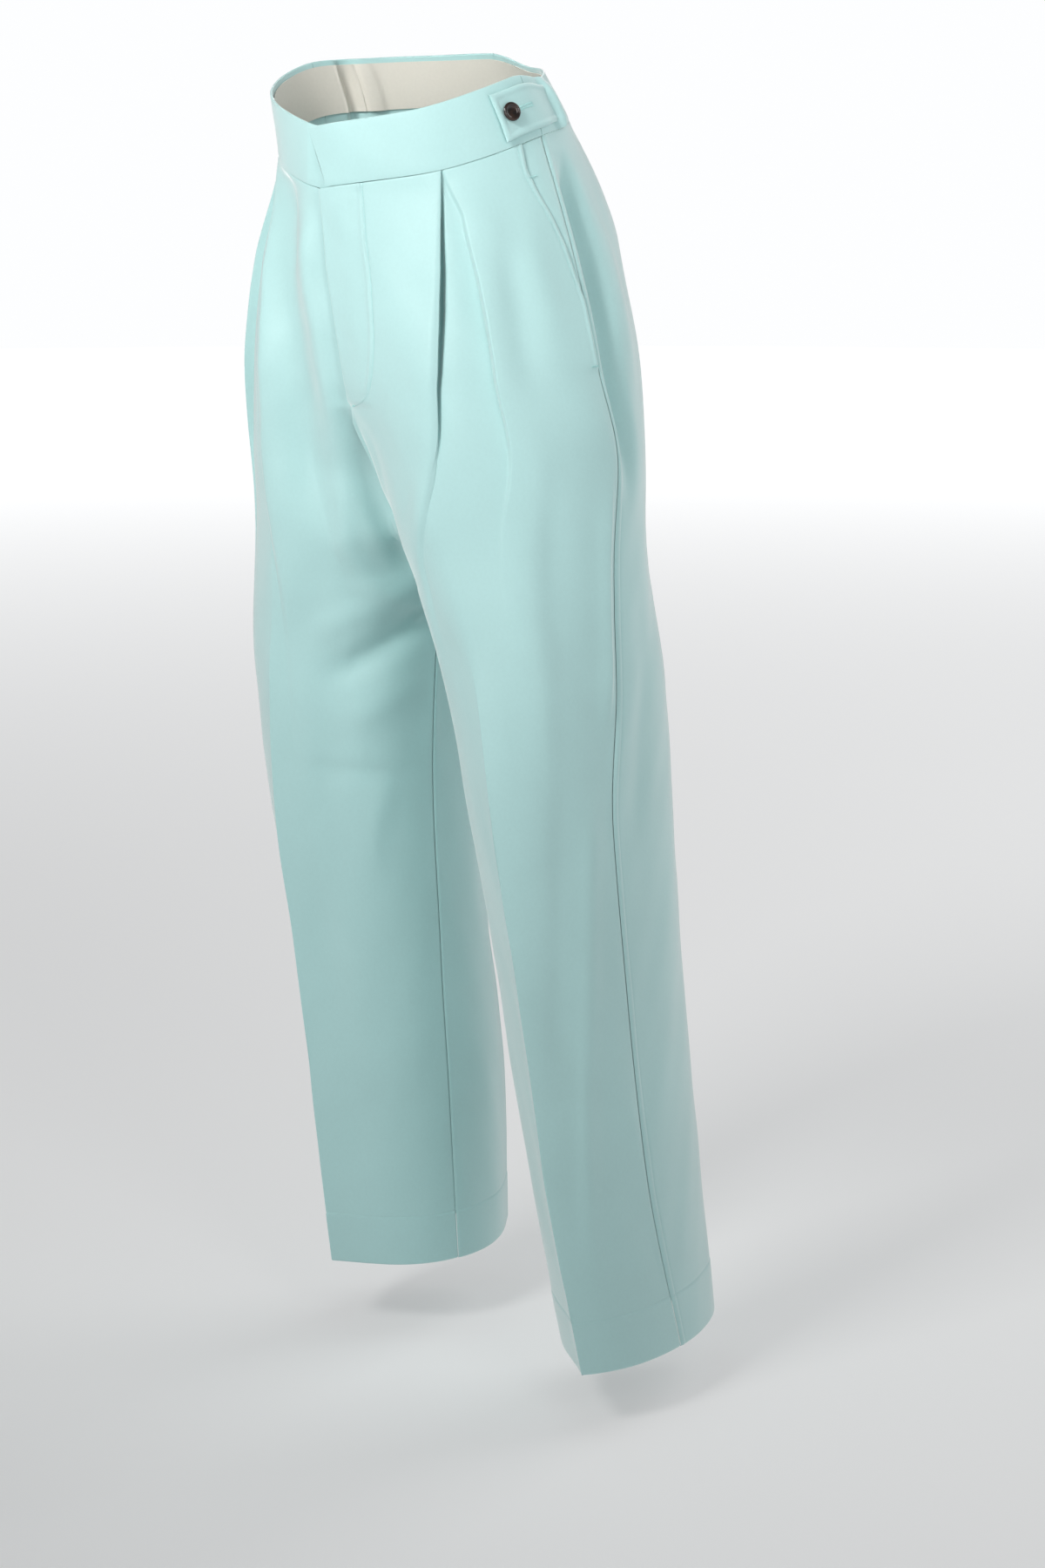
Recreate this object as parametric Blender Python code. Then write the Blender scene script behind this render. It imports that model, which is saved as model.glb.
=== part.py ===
"""Pleated straight-leg trousers, worn open and hollow on a general figure.

Metres, +Z up, front towards -Y, the wearer's left towards +X. The origin is the centre of the waist.
Every panel is a thin wall lofted through rings worked out from the tables below.
"""
import math

import bmesh
import bpy
import numpy as np

# ---------------------------------------------------------------- driving sizes (m)
WALL = 0.0016            # cloth wall
GAP = 0.0004             # left open at every seam
BAND_LIFT = 0.0006       # waistband stands this far proud of the panels
TAB_WALL = 0.0022
TAB_BACK, TAB_FRONT = -0.046, 0.043          # ends of the side tab from the side seam, + to the front
TAB_TOP, TAB_FOOT = -0.0445, -0.0075         # its edges, down the side from the waist seam
BUTTON_AT, BUTTON_V = 0.030, -0.026          # where its button sits
BUTTON_R, BUTTON_SEAT = 0.0078, 0.0012       # button radius; height of its shank
FLY_WIDTH = 0.036
FOLD_AT, FOLD_REACH, FOLD_LIFT = -0.0610, 0.012, 0.0065   # soft fold of the back waistband where the tab pulls it

# ---------------------------------------------------------------- rings round the whole body
# v is the height down the side; cx, cy centre; a half width; bf, bb depth to front and back;
# z_cf, z_l, z_r, z_cb heights at centre front, left side, right side and centre back;
# p_l, p_r how the front edge climbs to each side; th_f, th_b where the creases sit (degrees from the side);
# th_o where the side seam sits; x_f, y_f, in_f centre front point and how far it turns under; the same at the back.
RING_COLS = ("v cx cy a bf bb z_cf z_l z_r z_cb p_l p_r th_f th_b th_o x_f y_f in_f x_b y_b in_b").split()
RINGS = [
    ("rim",   -0.052, -0.003, -0.003, 0.130, 0.103, 0.103, -0.0105, 0.0305, 0.0465, 0.0530, 1.0, 0.6, 46, 50, -4, -0.002, -0.1060, 0, -0.003, 0.100, 0),
    ("seam",   0.000,  0.007,  0.007, 0.135, 0.113, 0.113, -0.0620, -0.0200, -0.0080, 0.0020, 1.0, 0.6, 43, 50, -4, 0.000, -0.1060, 0, 0.005, 0.120, 0),
    ("upper",  0.090,  0.010,  0.008, 0.168, 0.123, 0.158, -0.1400, -0.1120, -0.1080, -0.1050, 1.0, 0.8, 52, 55, -2, 0.008, -0.1060, 0, 0.011, 0.163, 0),
    ("hip",    0.180,  0.020,  0.009, 0.190, 0.136, 0.153, -0.2150, -0.2000, -0.2000, -0.2050, 1.0, 1.0, 57, 58, 0, 0.016, -0.1010, 6, 0.021, 0.156, 4),
    ("seat",   0.260,  0.028,  0.008, 0.200, 0.136, 0.139, -0.2860, -0.2800, -0.2800, -0.2900, 1.0, 1.0, 58.4, 60, -4, 0.028, -0.0740, 30, 0.031, 0.122, 30),
    ("fork",   0.335,  0.037,  0.002, 0.196, 0.132, 0.138, -0.3520, -0.3550, -0.3550, -0.3620, 1.0, 1.0, 58, 61, -1, 0.0405, -0.0480, 62, 0.040, 0.066, 60),
]
# ---------------------------------------------------------------- rings of each leg
# v; cx, cy centre; turn of the creases outwards (rad); half length crease to crease; half widths outwards and
# inwards; lead how far forward
# of the middle the side seam runs; sharp_f, sharp_b crease angles (degrees); z_out, z_in heights at the side and at the inside seam.
LEG_COLS = "v cx cy turn half w_out w_in lead sharp_f sharp_b z_out z_in".split()
LEG_L = [
    ("top",   0.378, 0.158, 0.004, 0.030, 0.105, 0.074, 0.116, 0.000, 2, 2, -0.400, -0.390),
    ("thigh", 0.420, 0.177, 0.001, 0.050, 0.110, 0.065, 0.104, 0.003, 10, 8, -0.440, -0.436),
    ("above", 0.560, 0.213, -0.009, 0.045, 0.112, 0.044, 0.095, 0.012, 30, 24, -0.580, -0.578),
    ("knee",  0.710, 0.238, -0.008, 0.053, 0.105, 0.033, 0.094, 0.008, 42, 38, -0.730, -0.730),
    ("calf",  0.860, 0.254, 0.001, 0.070, 0.102, 0.030, 0.084, 0.006, 45, 42, -0.880, -0.880),
    ("hem",   1.015, 0.268, 0.018, 0.150, 0.101, 0.034, 0.072, 0.000, 45, 42, -1.035, -1.035),
]
LEG_R = [
    ("top",   0.378, -0.069, 0.003, -0.030, 0.106, 0.088, 0.108, 0.000, 2, 2, -0.400, -0.390),
    ("thigh", 0.420, -0.073, 0.000, -0.020, 0.107, 0.080, 0.100, 0.003, 10, 8, -0.440, -0.436),
    ("above", 0.560, -0.058, -0.001, 0.065, 0.112, 0.066, 0.087, 0.006, 30, 24, -0.580, -0.578),
    ("knee",  0.710, -0.038, 0.005, 0.157, 0.106, 0.053, 0.077, 0.008, 42, 38, -0.730, -0.730),
    ("calf",  0.860, -0.022, 0.011, 0.210, 0.103, 0.050, 0.068, 0.006, 45, 42, -0.872, -0.872),
    ("hem",   1.010, -0.013, 0.014, 0.170, 0.098, 0.050, 0.061, 0.000, 45, 42, -1.020, -1.020),
]
# ---------------------------------------------------------------- folds of the front panels
# along: distance from the front crease towards the side (m) at five heights down the side; height of the ridge on the
# fold's inner side; depth of the gap behind it; reach of each side; from and to: where the fold runs.
FOLD_V = (0.0, 0.04, 0.09, 0.18, 0.28)
FOLD_COLS = "panel at0 at1 at2 at3 at4 ridge gap reach start end".split()
FOLDS = [
    ("pleat_near_fly", 0.000, 0.000, 0.000, 0.000, 0.000, 0.0034, 0.0040, 0.024, -0.02, 0.27),
    ("pleat_near_side", 0.012, 0.026, 0.042, 0.064, 0.074, 0.0030, 0.0034, 0.022, -0.02, 0.25),
]

KAPPA = 0.5523  # handle of a quarter ellipse


def table(rows, cols):
    return [dict(zip(["name"] + list(cols), row)) for row in rows]


RINGS_T = table(RINGS, RING_COLS)
LEGS_T = {1: table(LEG_L, LEG_COLS), -1: table(LEG_R, LEG_COLS)}


def ring_height(r, side, th):
    """Height of a body ring at angle th from the side towards the front (negative: towards the back)."""
    s = math.sin(th)
    zs, p = (r["z_l"], r["p_l"]) if side > 0 else (r["z_r"], r["p_r"])
    if s >= 0:
        return r["z_cf"] + (zs - r["z_cf"]) * (1 - s) ** p
    return zs + (r["z_cb"] - zs) * (-s)


def ring_arcs(r, side, front):
    """Two Bezier arcs of a body ring: side seam to crease, crease to centre line."""
    b = r["bf"] if front else r["bb"]
    sy = -1.0 if front else 1.0
    th0 = math.radians(r["th_o"] if front else -r["th_o"])
    th1 = math.radians(r["th_f"] if front else r["th_b"])
    zsg = 1 if front else -1

    def at(th):
        bb = b if th >= 0 else (r["bb"] if front else r["bf"])
        return np.array([r["cx"] + side * r["a"] * math.cos(th), r["cy"] + sy * bb * math.sin(th), ring_height(r, side, zsg * th)])

    def slope(th):
        return np.array([-side * r["a"] * math.sin(th), sy * b * math.cos(th), 0.0])

    def arc(t0, t1):
        k = 4.0 / 3.0 * math.tan((t1 - t0) / 4)
        p0, p3 = at(t0), at(t1)
        q1, q2 = p0 + slope(t0) * k, p3 - slope(t1) * k
        q1[2], q2[2] = p0[2] + (p3[2] - p0[2]) / 3, p0[2] + (p3[2] - p0[2]) * 2 / 3
        return [p0, q1, q2, p3]

    first = arc(th0, th1)
    second = arc(th1, math.pi / 2)
    x, y, turn = (r["x_f"], r["y_f"], r["in_f"]) if front else (r["x_b"], r["y_b"], r["in_b"])
    z = r["z_cf"] if front else r["z_cb"]
    end = np.array([x, y, z])
    ang = math.radians(turn)
    handle = abs(second[3][0] - second[2][0]) * (1 - 0.25 * math.sin(ang))
    ti = np.array([-side * math.cos(ang), -sy * math.sin(ang), 0.0])
    second[3] = end
    second[2] = end - ti * handle
    second[2][2] = second[1][2] + (end[2] - second[1][2]) * 0.5
    return first + second


def leg_arcs(r, side, front):
    t = r["turn"]
    ef = np.array([side * math.sin(t), -math.cos(t), 0.0])
    eo = np.array([side * math.cos(t), math.sin(t), 0.0])
    zo, zi = r["z_out"], r["z_in"]
    c = np.array([r["cx"], r["cy"], 0.0])
    o = c + eo * r["w_out"] + ef * r["lead"] + np.array([0, 0, zo])
    i = c - eo * r["w_in"] + np.array([0, 0, zi])
    d = ef if front else -ef
    zk = (zo * r["w_in"] + zi * r["w_out"]) / (r["w_in"] + r["w_out"])
    k = c + d * r["half"] + np.array([0, 0, zk])
    g = math.radians(r["sharp_f"] if front else r["sharp_b"])
    t_in = -eo * math.cos(g) + d * math.sin(g)
    t_out = -eo * math.cos(g) - d * math.sin(g)
    h = lambda p, q, e: abs(float(np.dot((q - p)[:2], e[:2]))) * KAPPA
    first = [o, o + d * h(o, k, d), k - t_in * h(o, k, eo), k]
    second = [k, k + t_out * h(k, i, eo), i + d * h(k, i, d), i]
    for arc in (first, second):
        arc[1] = np.array([arc[1][0], arc[1][1], arc[0][2] + (arc[3][2] - arc[0][2]) / 3])
        arc[2] = np.array([arc[2][0], arc[2][1], arc[0][2] + (arc[3][2] - arc[0][2]) * 2 / 3])
    return first + second


def pchip(xs, ys, x):
    """Shape-keeping cubic through the rows."""
    xs, ys, x = np.asarray(xs, float), np.asarray(ys, float), np.atleast_1d(np.asarray(x, float))
    h = np.diff(xs)
    shape = (-1,) + (1,) * (ys.ndim - 1)
    d = np.diff(ys, axis=0) / h.reshape(shape)
    m = np.zeros_like(ys)
    w1, w2 = (2 * h[1:] + h[:-1]).reshape(shape), (h[1:] + 2 * h[:-1]).reshape(shape)
    same = d[:-1] * d[1:] > 0
    safe0, safe1 = np.where(same, d[:-1], 1.0), np.where(same, d[1:], 1.0)
    m[1:-1] = np.where(same, (w1 + w2) / (w1 / safe0 + w2 / safe1), 0.0)
    m[0], m[-1] = d[0], d[-1]
    k = np.clip(np.searchsorted(xs, x) - 1, 0, len(xs) - 2)
    hk = h[k].reshape(shape)
    t = ((x - xs[k]) / h[k]).reshape(shape)
    return ((1 + 2 * t) * (1 - t) ** 2 * ys[k] + t * (1 - t) ** 2 * hk * m[k]
            + t * t * (3 - 2 * t) * ys[k + 1] + t * t * (t - 1) * hk * m[k + 1])


def controls(side, front):
    """Heights v and eight Bezier controls for every row of one quarter of the trousers."""
    vs, rows = [], []
    for r in RINGS_T:
        vs.append(r["v"])
        rows.append(ring_arcs(r, side, front))
    for r in LEGS_T[side]:
        vs.append(r["v"])
        rows.append(leg_arcs(r, side, front))
    return np.array(vs), np.array(rows)


V_FORK = LEGS_T[1][0]["v"]
SOFT_AT, SOFT_RUN, SOFT_REACH = 0.375, 0.20, 0.062   # where body rings turn into leg rings, and how far that change is spread
CONTROLS = {(s, f): controls(s, f) for s in (1, -1) for f in (True, False)}


def surface(side, front, us, vs):
    """Grid of points, rows by v, columns by u: 0 at the side seam, 0.5 on the crease, 1 at the centre or inside seam."""
    rv, rows = CONTROLS[(side, front)]
    us, vs = np.asarray(us, float), np.asarray(vs, float)
    c = pchip(rv, rows, vs)
    reach = SOFT_REACH * np.clip(1 - np.abs(vs - SOFT_AT) / SOFT_RUN, 0, 1)
    c[:, :6] = sum(w * pchip(rv, rows, vs + reach * k)[:, :6] for k, w in ((-1, 0.15), (-0.5, 0.22), (0, 0.26), (0.5, 0.22), (1, 0.15)))
    below = vs > V_FORK     # the inside seam is one line for the front and the back
    if below.any():
        k = len(RINGS)
        seam = pchip(rv[k:], rows[k:, 7], vs[below])
        c[below, 6] += seam - c[below, 7]
        c[below, 7] = seam
    out = np.zeros(vs.shape + us.shape + (3,))
    for j, u in enumerate(us):
        a = c[:, 0:4] if u < 0.5 else c[:, 4:8]
        t = u * 2 if u < 0.5 else u * 2 - 1
        out[:, j] = (1 - t) ** 3 * a[:, 0] + 3 * (1 - t) ** 2 * t * a[:, 1] + 3 * (1 - t) * t * t * a[:, 2] + t ** 3 * a[:, 3]
    return out
# === end of surface ===


def frame_of(grid):
    """Outward unit normals of a grid of points."""
    du, dv = np.gradient(grid, axis=1), np.gradient(grid, axis=0)
    n = np.cross(dv, du)
    return n / np.maximum(np.linalg.norm(n, axis=2, keepdims=True), 1e-12)


def lengths(line):
    return np.concatenate([[0.0], np.cumsum(np.linalg.norm(np.diff(line, axis=0), axis=1))])


DENSE = np.linspace(0.0, 1.0, 161)


def row_at(side, front, v):
    """A dense row and its length from the side seam."""
    line = surface(side, front, DENSE, [v])[0]
    return line, lengths(line)


def u_of(side, front, v, dist):
    """u of the points this far from the side seam along the row."""
    _, s = row_at(side, front, v)
    return np.interp(dist, s, DENSE)


def bump(x, reach):
    return np.clip(1 - np.abs(x) / reach, 0, 1) ** 2 * (1 + 2 * np.clip(np.abs(x) / reach, 0, 1))


def fold_height(side, v, past):
    """Relief of the pleats at height v: past is the distance from the front crease towards the side."""
    out = np.zeros_like(past)
    for f in table(FOLDS, FOLD_COLS[1:]):
        at = float(np.interp(v, FOLD_V, [f["at%d" % i] for i in range(5)]))
        run = min(1.0, max(0.0, (f["end"] - v) / 0.12)) ** 1.2
        if v < f["start"] or run <= 0:
            continue
        x = past - at
        ridge = np.where(x < 0, bump(x, f["reach"]) * f["ridge"], np.clip(1 - x / 0.003, 0, 1) * f["ridge"])
        gap = np.where(x > 0, np.clip(x / 0.003, 0, 1) * bump(np.maximum(x - 0.004, 0), f["reach"]) * f["gap"], 0)
        out += run * (ridge - gap)
    return out


# ---------------------------------------------------------------- from grids to solids
def clear_scene():
    for obj in list(bpy.data.objects):
        bpy.data.objects.remove(obj, do_unlink=True)
    for col in list(bpy.data.collections):
        bpy.data.collections.remove(col)


def material(name, colour, rough, sheen=0.0):
    m = bpy.data.materials.new(name)
    m.use_nodes = True
    p = m.node_tree.nodes.get("Principled BSDF")
    p.inputs["Base Color"].default_value = (*colour, 1)
    p.inputs["Roughness"].default_value = rough
    p.inputs["Metallic"].default_value = 0.0
    m.diffuse_color = (*colour, 1)
    return m


def shell(name, outer, inner, mat, home, loop=False):
    """A closed solid between two grids of points. A loop joins its last column to its first."""
    nv, nu = outer.shape[:2]
    mesh = bpy.data.meshes.new(name)
    bm = bmesh.new()
    a = [[bm.verts.new(outer[i, j]) for j in range(nu)] for i in range(nv)]
    b = [[bm.verts.new(inner[i, j]) for j in range(nu)] for i in range(nv)]
    last = nu if loop else nu - 1
    for i in range(nv - 1):
        for j in range(last):
            k = (j + 1) % nu
            bm.faces.new((a[i][j], a[i][k], a[i + 1][k], a[i + 1][j]))
            bm.faces.new((b[i][j], b[i + 1][j], b[i + 1][k], b[i][k]))
    for j in range(last):
        k = (j + 1) % nu
        bm.faces.new((a[0][k], a[0][j], b[0][j], b[0][k]))
        bm.faces.new((a[-1][j], a[-1][k], b[-1][k], b[-1][j]))
    if not loop:
        for i in range(nv - 1):
            bm.faces.new((a[i][0], a[i + 1][0], b[i + 1][0], b[i][0]))
            bm.faces.new((a[i + 1][-1], a[i][-1], b[i][-1], b[i + 1][-1]))
    bmesh.ops.triangulate(bm, faces=bm.faces[:], quad_method="SHORT_EDGE")
    bmesh.ops.recalc_face_normals(bm, faces=bm.faces[:])
    if bm.calc_volume(signed=True) < 0:
        bmesh.ops.reverse_faces(bm, faces=bm.faces[:])
    bm.to_mesh(mesh)
    bm.free()
    mesh.materials.append(mat)
    obj = bpy.data.objects.new(name, mesh)
    home.objects.link(obj)
    return obj


def outward(grid, side, front):
    """Normals turned to the outside of the garment."""
    n = frame_of(grid)
    mid = grid[grid.shape[0] // 2, grid.shape[1] // 2]
    probe = n[grid.shape[0] // 2, grid.shape[1] // 2]
    away = np.array([side * 1.0, -1.2 if front else 1.2, 0.0])
    return n if float(np.dot(probe, away)) > 0 else -n


def across(side, v, inside):
    """Direction of the row across a seam, taken from the panels on both sides of it."""
    fl, fs = row_at(side, True, v)
    bl, bs = row_at(side, False, v)
    step = 0.004
    if inside:
        p = [np.interp(fs[-1] - step, fs, fl[:, k]) for k in range(3)]
        q = [np.interp(bs[-1] - step, bs, bl[:, k]) for k in range(3)]
    else:
        p = [np.interp(step, bs, bl[:, k]) for k in range(3)]
        q = [np.interp(step, fs, fl[:, k]) for k in range(3)]
    return np.array(q) - np.array(p)


def walled(outer, side, front, vs):
    """The inner face of a panel. On its seams the wall stands square to the row of both panels, so that they keep their gap."""
    n = outward(outer, side, front)
    down = np.gradient(outer, axis=0)
    for i, v in enumerate(vs):
        for col, inside in ((0, False), (-1, True)):
            if inside and v < 0.38:
                if abs(n[i, -1, 0]) < 0.45 and v < 0.25:
                    n[i, -1, 0] = 0.0
                continue
            m = np.cross(down[i, col], across(side, v, inside))
            m /= np.linalg.norm(m)
            n[i, col] = m if float(np.dot(m, n[i, col])) > 0 else -m
    n = n / np.linalg.norm(n, axis=2, keepdims=True)
    return outer - n * WALL


def centre_x(v, front):
    """x of the centre seam at height v, down to the fork."""
    return float(surface(1, front, [1.0], [v])[0, 0, 0])


def keep_half(grid, side, front, vs):
    """Holds the last column of a grid on its own side of the centre seam."""
    for i, v in enumerate(vs):
        if v < 0.38:
            mid = centre_x(v, front) + side * GAP / 2
            grid[i, -1, 0] = max(grid[i, -1, 0], mid) if side > 0 else min(grid[i, -1, 0], mid)
    return grid


PANEL_V = np.array([0.0, 0.018, 0.04, 0.065, 0.09, 0.115, 0.14, 0.165, 0.19, 0.215, 0.24, 0.265, 0.29, 0.315, 0.337,
                    0.357, 0.376, 0.388, 0.40, 0.414, 0.43, 0.47, 0.52, 0.58, 0.65, 0.73, 0.82, 0.92, 1.0])
POCKET_V = (0.0, 0.02, 0.04, 0.06, 0.085, 0.107, 0.13)
POCKET_D = (0.0235, 0.0250, 0.0200, 0.0125, 0.0065, 0.0040, 0.0)


def front_panel(side):
    """Front: pleated, with its top outer corner cut away along the pocket mouth."""
    rv, _ = CONTROLS[(side, True)]
    end = rv[-1]
    vs = np.where(PANEL_V < 0.5, PANEL_V, 0.5 + (PANEL_V - 0.5) * (end - 0.5) / 0.5)
    rows = []
    for v in vs:
        line, s = row_at(side, True, v)
        crease = float(np.interp(0.5, DENSE, s))
        cut = float(np.interp(v, POCKET_V, POCKET_D, right=0.0))
        lo, hi = cut + GAP / 2, s[-1] - GAP / 2
        at = [float(np.interp(v, FOLD_V, [f[1 + i] for i in range(5)])) for f in FOLDS]
        second = crease - at[1]
        knots = [lo, lo + 0.014, second - 0.020, second - 0.004, second, second + 0.5 * at[1] * 0.9]
        rest = [crease - 0.0045, crease, crease + 0.010, crease + 0.024]
        if v > 0.29:
            knots = list(lo + (crease - lo) * np.linspace(0, 1, 8)[:-2])
            rest = [lo + (crease - lo) * 6 / 7, crease, crease + (hi - crease) * 0.12, crease + (hi - crease) * 0.28]
        tail = list(crease + (hi - crease) * np.array([0.48, 0.68, 0.84, 0.94, 1.0]))
        dist = np.array(knots + rest + tail)
        dist = np.maximum.accumulate(dist + np.arange(len(dist)) * 1e-5)
        dist = np.clip(dist, lo, hi - (len(dist) - 1 - np.arange(len(dist))) * 1e-5)
        row = np.array([np.interp(dist, s, line[:, k]) for k in range(3)]).T
        rows.append((row, crease - dist))
    grid = np.array([r[0] for r in rows])
    n = outward(grid, side, True)
    lift = np.array([fold_height(side, v, r[1]) for v, r in zip(vs, rows)])
    outer = grid + n * lift[:, :, None]
    outer[0] = outer[0] - np.array([0, 0, GAP])
    inner = walled(outer, side, True, vs)
    return keep_half(outer, side, True, vs), keep_half(inner, side, True, vs)


def back_panel(side):
    rv, _ = CONTROLS[(side, False)]
    vs = np.where(PANEL_V < 0.5, PANEL_V, 0.5 + (PANEL_V - 0.5) * (rv[-1] - 0.5) / 0.5)
    rows = []
    for v in vs:
        line, s = row_at(side, False, v)
        crease = float(np.interp(0.5, DENSE, s))
        lo, hi = GAP / 2, s[-1] - GAP / 2
        dist = np.concatenate([lo + (crease - lo) * np.linspace(0, 1, 7), crease + (hi - crease) * np.array([0.15, 0.32, 0.5, 0.68, 0.84, 0.94, 1.0])])
        rows.append(np.array([np.interp(dist, s, line[:, k]) for k in range(3)]).T)
    grid = np.array(rows)
    outer = grid.copy()
    outer[0] = outer[0] - np.array([0, 0, GAP])
    inner = walled(outer, side, False, vs)
    return keep_half(outer, side, False, vs), keep_half(inner, side, False, vs)


def band_row(side, v, dist):
    """Points of the waist at these distances from the side seam, positive towards the front."""
    fl, fs = row_at(side, True, v)
    bl, bs = row_at(side, False, v)
    line = np.vstack([bl[::-1], fl[1:]])
    s = np.concatenate([-bs[::-1], fs[1:]])
    return np.array([np.interp(dist, s, line[:, k]) for k in range(3)]).T, s[0], s[-1]


def band_piece(side, start, stop, cols, lift, wall, heights):
    """Strip of the waist between two distances; lift is how far its outer face stands off the waist surface."""
    grid = np.array([band_row(side, v, np.linspace(start, stop, cols))[0] for v in heights])
    n = frame_of(grid)
    if float(np.dot(n[0, cols // 2], np.array([side, 0, 0]) + (np.array([0, -1.5, 0]) if start + stop > 0.05 else np.array([0, 1.5, 0]) if start + stop < -0.05 else 0))) < 0:
        n = -n
    outer = grid + n * lift
    return outer, outer - n * wall


def mirror_strip(left, right):
    """One strip through centre back from the left piece (ending at centre) and the right one (starting there)."""
    return np.concatenate([left[:, :-1], right], axis=1)


def disc(name, centre, axis, profile, steps, mat, home):
    """A turned solid about an axis: profile rows are (radius, height)."""
    z = np.array(axis, float) / np.linalg.norm(axis)
    x = np.cross(z, [0.0, 0.0, 1.0])
    x /= np.linalg.norm(x)
    y = np.cross(z, x)
    mesh = bpy.data.meshes.new(name)
    bm = bmesh.new()
    rings = []
    for r, h in profile:
        if r < 1e-6:
            rings.append([bm.verts.new(np.array(centre) + z * h)])
        else:
            rings.append([bm.verts.new(np.array(centre) + z * h + r * (math.cos(a) * x + math.sin(a) * y))
                          for a in np.linspace(0, 2 * math.pi, steps, endpoint=False)])
    for p, q in zip(rings[:-1], rings[1:]):
        for i in range(steps):
            j = (i + 1) % steps
            if len(p) == 1:
                bm.faces.new((p[0], q[i], q[j]))
            elif len(q) == 1:
                bm.faces.new((p[i], q[0], p[j]))
            else:
                bm.faces.new((p[i], q[i], q[j], p[j]))
    bmesh.ops.recalc_face_normals(bm, faces=bm.faces[:])
    if bm.calc_volume(signed=True) < 0:
        bmesh.ops.reverse_faces(bm, faces=bm.faces[:])
    bm.to_mesh(mesh)
    bm.free()
    mesh.materials.append(mat)
    obj = bpy.data.objects.new(name, mesh)
    home.objects.link(obj)
    return obj


# ---------------------------------------------------------------- the trousers
clear_scene()
scene = bpy.context.scene
home = bpy.data.collections.new("straight_leg_trousers")
scene.collection.children.link(home)
CLOTH = material("cloth", (0.47, 0.74, 0.73), 0.85)
FACING = material("facing_cloth", (0.72, 0.70, 0.64), 0.85)
HORN = material("dark_horn", (0.016, 0.010, 0.008), 0.22)
TAPE = material("zip_tape", (0.40, 0.66, 0.66), 0.8)

BAND_H = np.linspace(-0.052, -GAP, 4)
for side, word in ((1, "left"), (-1, "right")):
    outer, inner = front_panel(side)
    shell("front_" + word, outer, inner, CLOTH, home)
    outer, inner = back_panel(side)
    shell("back_" + word, outer, inner, CLOTH, home)

    # pocket facing: shows between the pocket mouth and the side seam, one wall under the front
    rows = []
    for v in PANEL_V[:6]:
        cut = float(np.interp(v, POCKET_V, POCKET_D))
        rows.append(band_row(side, v, [GAP, cut / 2 + GAP, cut + GAP / 2, cut + GAP / 2 + 0.014])[0])
    grid = np.array(rows)
    n = frame_of(grid)
    if float(np.dot(n[3, 2], [side, 0, 0])) < 0:
        n = -n
    grid[0] = grid[0] - np.array([0, 0, GAP])
    outer = grid - n * (WALL + GAP * 1.5)
    shell("pocket_facing_" + word, outer, outer - n * WALL, CLOTH, home)

    # waistband: front piece from the side seam to centre front
    _, s_back, s_front = band_row(side, 0.0, [0.0])
    outer, inner = band_piece(side, GAP / 2, s_front - GAP / 2, 16, BAND_LIFT, WALL, BAND_H)
    outer, inner = keep_half(outer, side, True, BAND_H), keep_half(inner, side, True, BAND_H)
    shell("waistband_front_" + word, outer, inner, CLOTH, home)

    # side tab, buttoned over the waistband
    th = np.linspace(TAB_TOP, TAB_FOOT, 4)
    outer, inner = band_piece(side, TAB_BACK, TAB_FRONT, 16, BAND_LIFT + 0.0004 + TAB_WALL, TAB_WALL, th)
    shell("side_tab_" + word, outer, inner, CLOTH, home)
    spot = np.array([band_row(side, v, [BUTTON_AT - 0.001, BUTTON_AT + 0.001])[0] for v in (BUTTON_V - 0.001, BUTTON_V + 0.001)])
    nn = frame_of(spot)[0, 0]
    nn = nn if nn[0] * side > 0 else -nn
    seat = spot.mean(axis=(0, 1)) + nn * (BAND_LIFT + 0.0004 + TAB_WALL + 0.0004)
    prof = [(0.0, 0.0), (0.0030, 0.0), (0.0031, BUTTON_SEAT), (BUTTON_R * 0.90, BUTTON_SEAT + 0.0002), (BUTTON_R, BUTTON_SEAT + 0.0012),
            (BUTTON_R * 0.985, BUTTON_SEAT + 0.0022), (BUTTON_R * 0.88, BUTTON_SEAT + 0.0030), (BUTTON_R * 0.76, BUTTON_SEAT + 0.0028),
            (BUTTON_R * 0.60, BUTTON_SEAT + 0.0020), (0.0, BUTTON_SEAT + 0.0018)]
    disc("button_" + word, seat, nn, prof, 28, HORN, home)

# waistband: back piece, side seam to side seam
halves = []
for side in (1, -1):
    grids = []
    for v in BAND_H:
        _, sb, sf = band_row(side, v, [0.0])
        d = np.linspace(-GAP / 2, sb, 15)
        grids.append(band_row(side, v, d)[0])
    g = np.array(grids)
    n = frame_of(g)
    if float(np.dot(n[0, -2], [0, 1, 0])) < 0:
        n = -n
    n[:, -1, 0] = 0
    n /= np.linalg.norm(n, axis=2, keepdims=True)
    dd = lengths(g[1])
    drop = np.interp(BAND_H, (-0.052, -0.040, -0.030, 0.0), (0.0, 0.35, 1.0, 0.6))
    lift = BAND_LIFT + bump(-dd - FOLD_AT, FOLD_REACH)[None, :] * FOLD_LIFT * drop[:, None]
    outer = g + n * lift[:, :, None]
    halves.append((outer, outer - n * WALL))
outer = mirror_strip(halves[0][0], halves[1][0][:, ::-1])
inner = mirror_strip(halves[0][1], halves[1][1][:, ::-1])
shell("waistband_back", outer, inner, CLOTH, home)

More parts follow.
